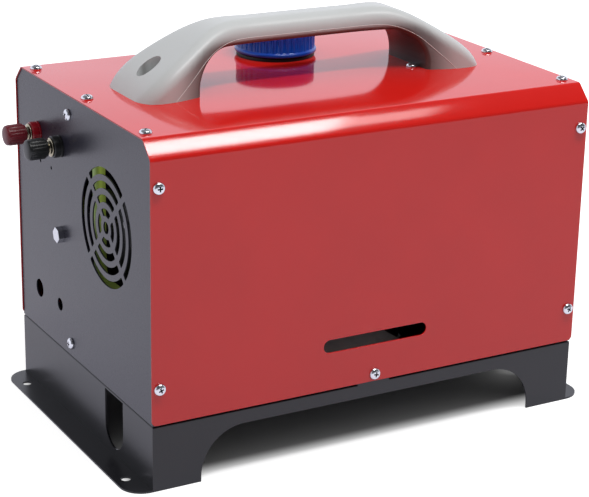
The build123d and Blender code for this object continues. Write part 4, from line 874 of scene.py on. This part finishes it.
dome = [(0, 3.2), (1.6, 3.17), (2.9, 2.98), (3.9, 2.5), (4.6, 1.75), (4.95, 0.85), (5.0, 0.25), (4.85, 0.0)]
screw = turned("pan_screw", dome + [(2.4, 0.0), (2.4, -7.0), (1.9, -7.5), (0, -7.5)])
cross_recess(screw, 3.2, 1.4, 6.2, 2.0)
soften(screw, 0.08, 1, 42)
held = []
for side in (-1, 1):
    for x, z in ((-193.2, 247.8), (-193.2, 86.6), (193.2, 247.8), (193.2, 86.6), (0, 63.0)):
        held.append(set_at(screw, "held", (x, side * half_depth, z), (0, side, 0), 0.35 * len(held)))
    for y in (-109.0, 1.0, 109.0):
        held.append(set_at(screw, "held", (side * 191.2, y, top), (0, 0, 1), 0.5 * len(held)))
held.append(set_at(screw, "held", (101.5, -17.0, top), (0, 0, 1), 0.2))
cover_fixings = together("cover_fixings", held)
fit(cover_fixings, "heater", "zinc_steel", zinc, "cover_screws")
held = []
for side in (-1, 1):
    for y, z in ((25.0, 67.0), (22.0, 265.6)):
        held.append(set_at(screw, "held", (side * panel_face, y, z), (side, 0, 0), 0.6 * len(held)))
end_fixings = together("end_fixings", held)
fit(end_fixings, "heater", "zinc_steel", zinc, "end_panel_screws")
bpy.data.objects.remove(screw, do_unlink=True)

# ---- filler ----
# The tank's neck stands up through the cover in a soft black grommet. Its screw cap is blue polypropylene
# with a rounded rim and fine flutes, over a threaded liner and a rubber seal.
soft_rubber = finish("soft black rubber", (0.010, 0.010, 0.011), 0.58, grain=620, depth=0.25)
grommet = turned("neck_grommet", [
    (27.6, 279.0), (27.6, 285.7), (27.9, 286.0), (32.8, 286.0), (33.7, 285.6), (34.0, 284.8), (34.0, 283.05),
    (29.9, 283.0), (29.9, 281.7), (32.6, 281.7), (33.0, 281.3), (33.0, 279.1), (32.7, 278.8),
    (27.8, 278.8)], 96, True)
soften(grommet, 0.15, 2, 35)
grommet.location = (filler_x * mm, filler_y * mm, 0)
fit(grommet, "heater", "black_rubber", soft_rubber, "filler_grommet")
dress(tank_black, "cap_liner")
dress(soft_rubber, "cap_seal")
cap_blue = finish("royal blue polypropylene", (0.002, 0.062, 0.46), 0.22, grain=1500, depth=0.06, tone=0.06)
cap_form = turned("filler_cap", [
    (0, 309.0), (24.0, 309.0), (27.6, 308.9), (29.6, 308.2), (30.6, 308.2), (32.6, 308.6), (33.5, 308.2),
    (34.1, 307.4), (34.3, 306.4), (34.3, 300.0), (34.3, 290.9), (34.4, 290.3), (34.9, 289.9), (35.4, 289.5),
    (35.7, 288.8), (35.7, 287.4), (35.4, 286.8), (35.0, 286.6), (30.4, 286.6), (30.0, 287.0), (30.0, 304.6),
    (29.5, 306.0), (0, 306.0)], 288)
ribbed(cap_form, 36, 34.0, 290.7, 307.0, 0.020)
soften(cap_form, 0.12, 1, 40)
cap_form.location = (filler_x * mm, filler_y * mm, 0)
fit(cap_form, "cap", "cap_plastic", cap_blue, "fuel_cap")

# ---- handle ----
# Two hollow mouldings in light grey satin plastic, an upper and a lower one, meet at a fine parting line,
# drawn as a bead with a painted highlight. The inside of the arch is darkened with painted shade. One screw
# at each end goes down a round pocket, darkened with painted shade too, into a steel brace under the cover.
screw_x, screw_seat = 138.0, 291.0
dress(galvanised, "handle_brace")
handle_grey = finish(
    "light grey moulded plastic", (0.60, 0.615, 0.615), 0.36, grain=2200, depth=0.12, tone=0.025)
nodes, links = handle_grey.node_tree.nodes, handle_grey.node_tree.links
apart = nodes.new("ShaderNodeSeparateXYZ")
skin = nodes.new("ShaderNodeNewGeometry")
normal = nodes.new("ShaderNodeSeparateXYZ")
outwards = maths(nodes, "ABSOLUTE")
hand = maths(nodes, "SIGN")
inward = maths(nodes, "MULTIPLY")
lowest = maths(nodes, "MINIMUM")
legs = slope(nodes, 142.0 * mm, 105.0 * mm)
grip = slope(nodes, 330.0 * mm, 318.0 * mm)
facing = slope(nodes, 0.25, -0.55)
within = maths(nodes, "MULTIPLY")
arch_shade = maths(nodes, "MULTIPLY")
level = nodes.new("ShaderNodeCombineXYZ")
from_screw = nodes.new("ShaderNodeVectorMath")
from_screw.operation = "DISTANCE"
from_screw.inputs[1].default_value = (screw_x * mm, 0, 0)
pocket = slope(nodes, 9.3 * mm, 8.9 * mm, 0.0, 0.5, "LINEAR")
either = maths(nodes, "MAXIMUM")
# Painted shade: the arch's inner faces low in the grip, and the screw pockets, are mixed towards a dark
# brown.
darker = two_colours(nodes)
darker.inputs["B"].default_value = (0.09, 0.075, 0.07, 1)
links.new(nodes["place"].outputs["Object"], apart.inputs["Vector"])
links.new(apart.outputs["X"], outwards.inputs[0])
links.new(outwards.outputs[0], legs.inputs["Value"])
links.new(apart.outputs["Z"], grip.inputs["Value"])
links.new(legs.outputs["Result"], within.inputs[0])
links.new(grip.outputs["Result"], within.inputs[1])
links.new(skin.outputs["Normal"], normal.inputs["Vector"])
links.new(apart.outputs["X"], hand.inputs[0])
links.new(hand.outputs[0], inward.inputs[0])
links.new(normal.outputs["X"], inward.inputs[1])
links.new(inward.outputs[0], lowest.inputs[0])
links.new(normal.outputs["Z"], lowest.inputs[1])
links.new(lowest.outputs[0], facing.inputs["Value"])
links.new(within.outputs[0], arch_shade.inputs[0])
links.new(facing.outputs["Result"], arch_shade.inputs[1])
links.new(outwards.outputs[0], level.inputs["X"])
links.new(apart.outputs["Y"], level.inputs["Y"])
links.new(level.outputs["Vector"], from_screw.inputs[0])
links.new(from_screw.outputs["Value"], pocket.inputs["Value"])
links.new(arch_shade.outputs[0], either.inputs[0])
links.new(pocket.outputs["Result"], either.inputs[1])
links.new(either.outputs[0], darker.inputs["Factor"])
links.new(nodes["colours"].outputs["Color"], darker.inputs["A"])
links.new(darker.outputs["Result"], nodes["shader"].inputs["Base Color"])
handle_forms = {}
for node, name in (("handle_top_shell", "handle_upper"), ("handle_bottom_shell", "handle_lower")):
    shell = sheet_form(node, name, 0.02)
    bpy.ops.object.shade_smooth_by_angle(angle=math.radians(35))
    handle_forms[node] = shell
take(handle_forms["handle_bottom_shell"])
bpy.ops.object.duplicate()
flash = bpy.context.object
flash.name = "handle_parting_line"
bpy.ops.object.mode_set(mode="EDIT")
bpy.ops.mesh.select_mode(type="EDGE")
bpy.ops.mesh.select_all(action="DESELECT")
form = bmesh.from_edit_mesh(flash.data)
form.normal_update()
for edge in form.edges:
    if len(edge.link_faces) == 2 and edge.calc_face_angle() > math.radians(35):
        side = (edge.verts[0].co.y + edge.verts[1].co.y) / 2
        joint, flank = sorted((face.normal.y for face in edge.link_faces), key=abs)
        outer = abs(joint) < 0.08 and flank * side > 0 and abs(flank) > 0.1
        edge.select_set(outer and max(point.co.z for point in edge.verts) > (top + 0.2) * mm)
bmesh.update_edit_mesh(flash.data)
bpy.ops.mesh.select_all(action="INVERT")
bpy.ops.mesh.delete(type="EDGE_FACE")
bpy.ops.object.mode_set(mode="OBJECT")
bpy.ops.object.convert(target="CURVE")
flash.data.bevel_depth = 0.22 * mm
flash.data.bevel_resolution = 1
bpy.ops.object.convert(target="MESH")
# The bead is lighter than the handle's plastic: a painted highlight along the parting line, besides the light
# that its round top catches.
parting_highlight = finish("parting line with painted highlight", (0.80, 0.80, 0.78), 0.35, grain=2200, depth=0.05, tone=0.02)
fit(flash, "heater", "handle_plastic", parting_highlight)
for node, shell in handle_forms.items():
    fit(shell, "heater", "handle_plastic", handle_grey, node)
long_screw = turned("handle_screw", [
    (0, 3.2), (1.6, 3.17), (2.9, 2.98), (3.9, 2.45), (4.5, 1.7), (4.8, 0.8), (4.8, 0.2), (4.65, 0.0),
    (3.0, 0.0), (3.0, -15.2), (2.3, -16.0), (0, -16.0)])
cross_recess(long_screw, 3.2, 1.4, 6.0, 2.0)
soften(long_screw, 0.08, 1, 42)
held = [
    set_at(long_screw, "held", (side * screw_x, 0, screw_seat), (0, 0, 1), 0.4 + side) for side in (-1, 1)]
handle_fixings = together("handle_fixings", held)
fit(handle_fixings, "heater", "zinc_steel", zinc, "handle_screws")
bpy.data.objects.remove(long_screw, do_unlink=True)
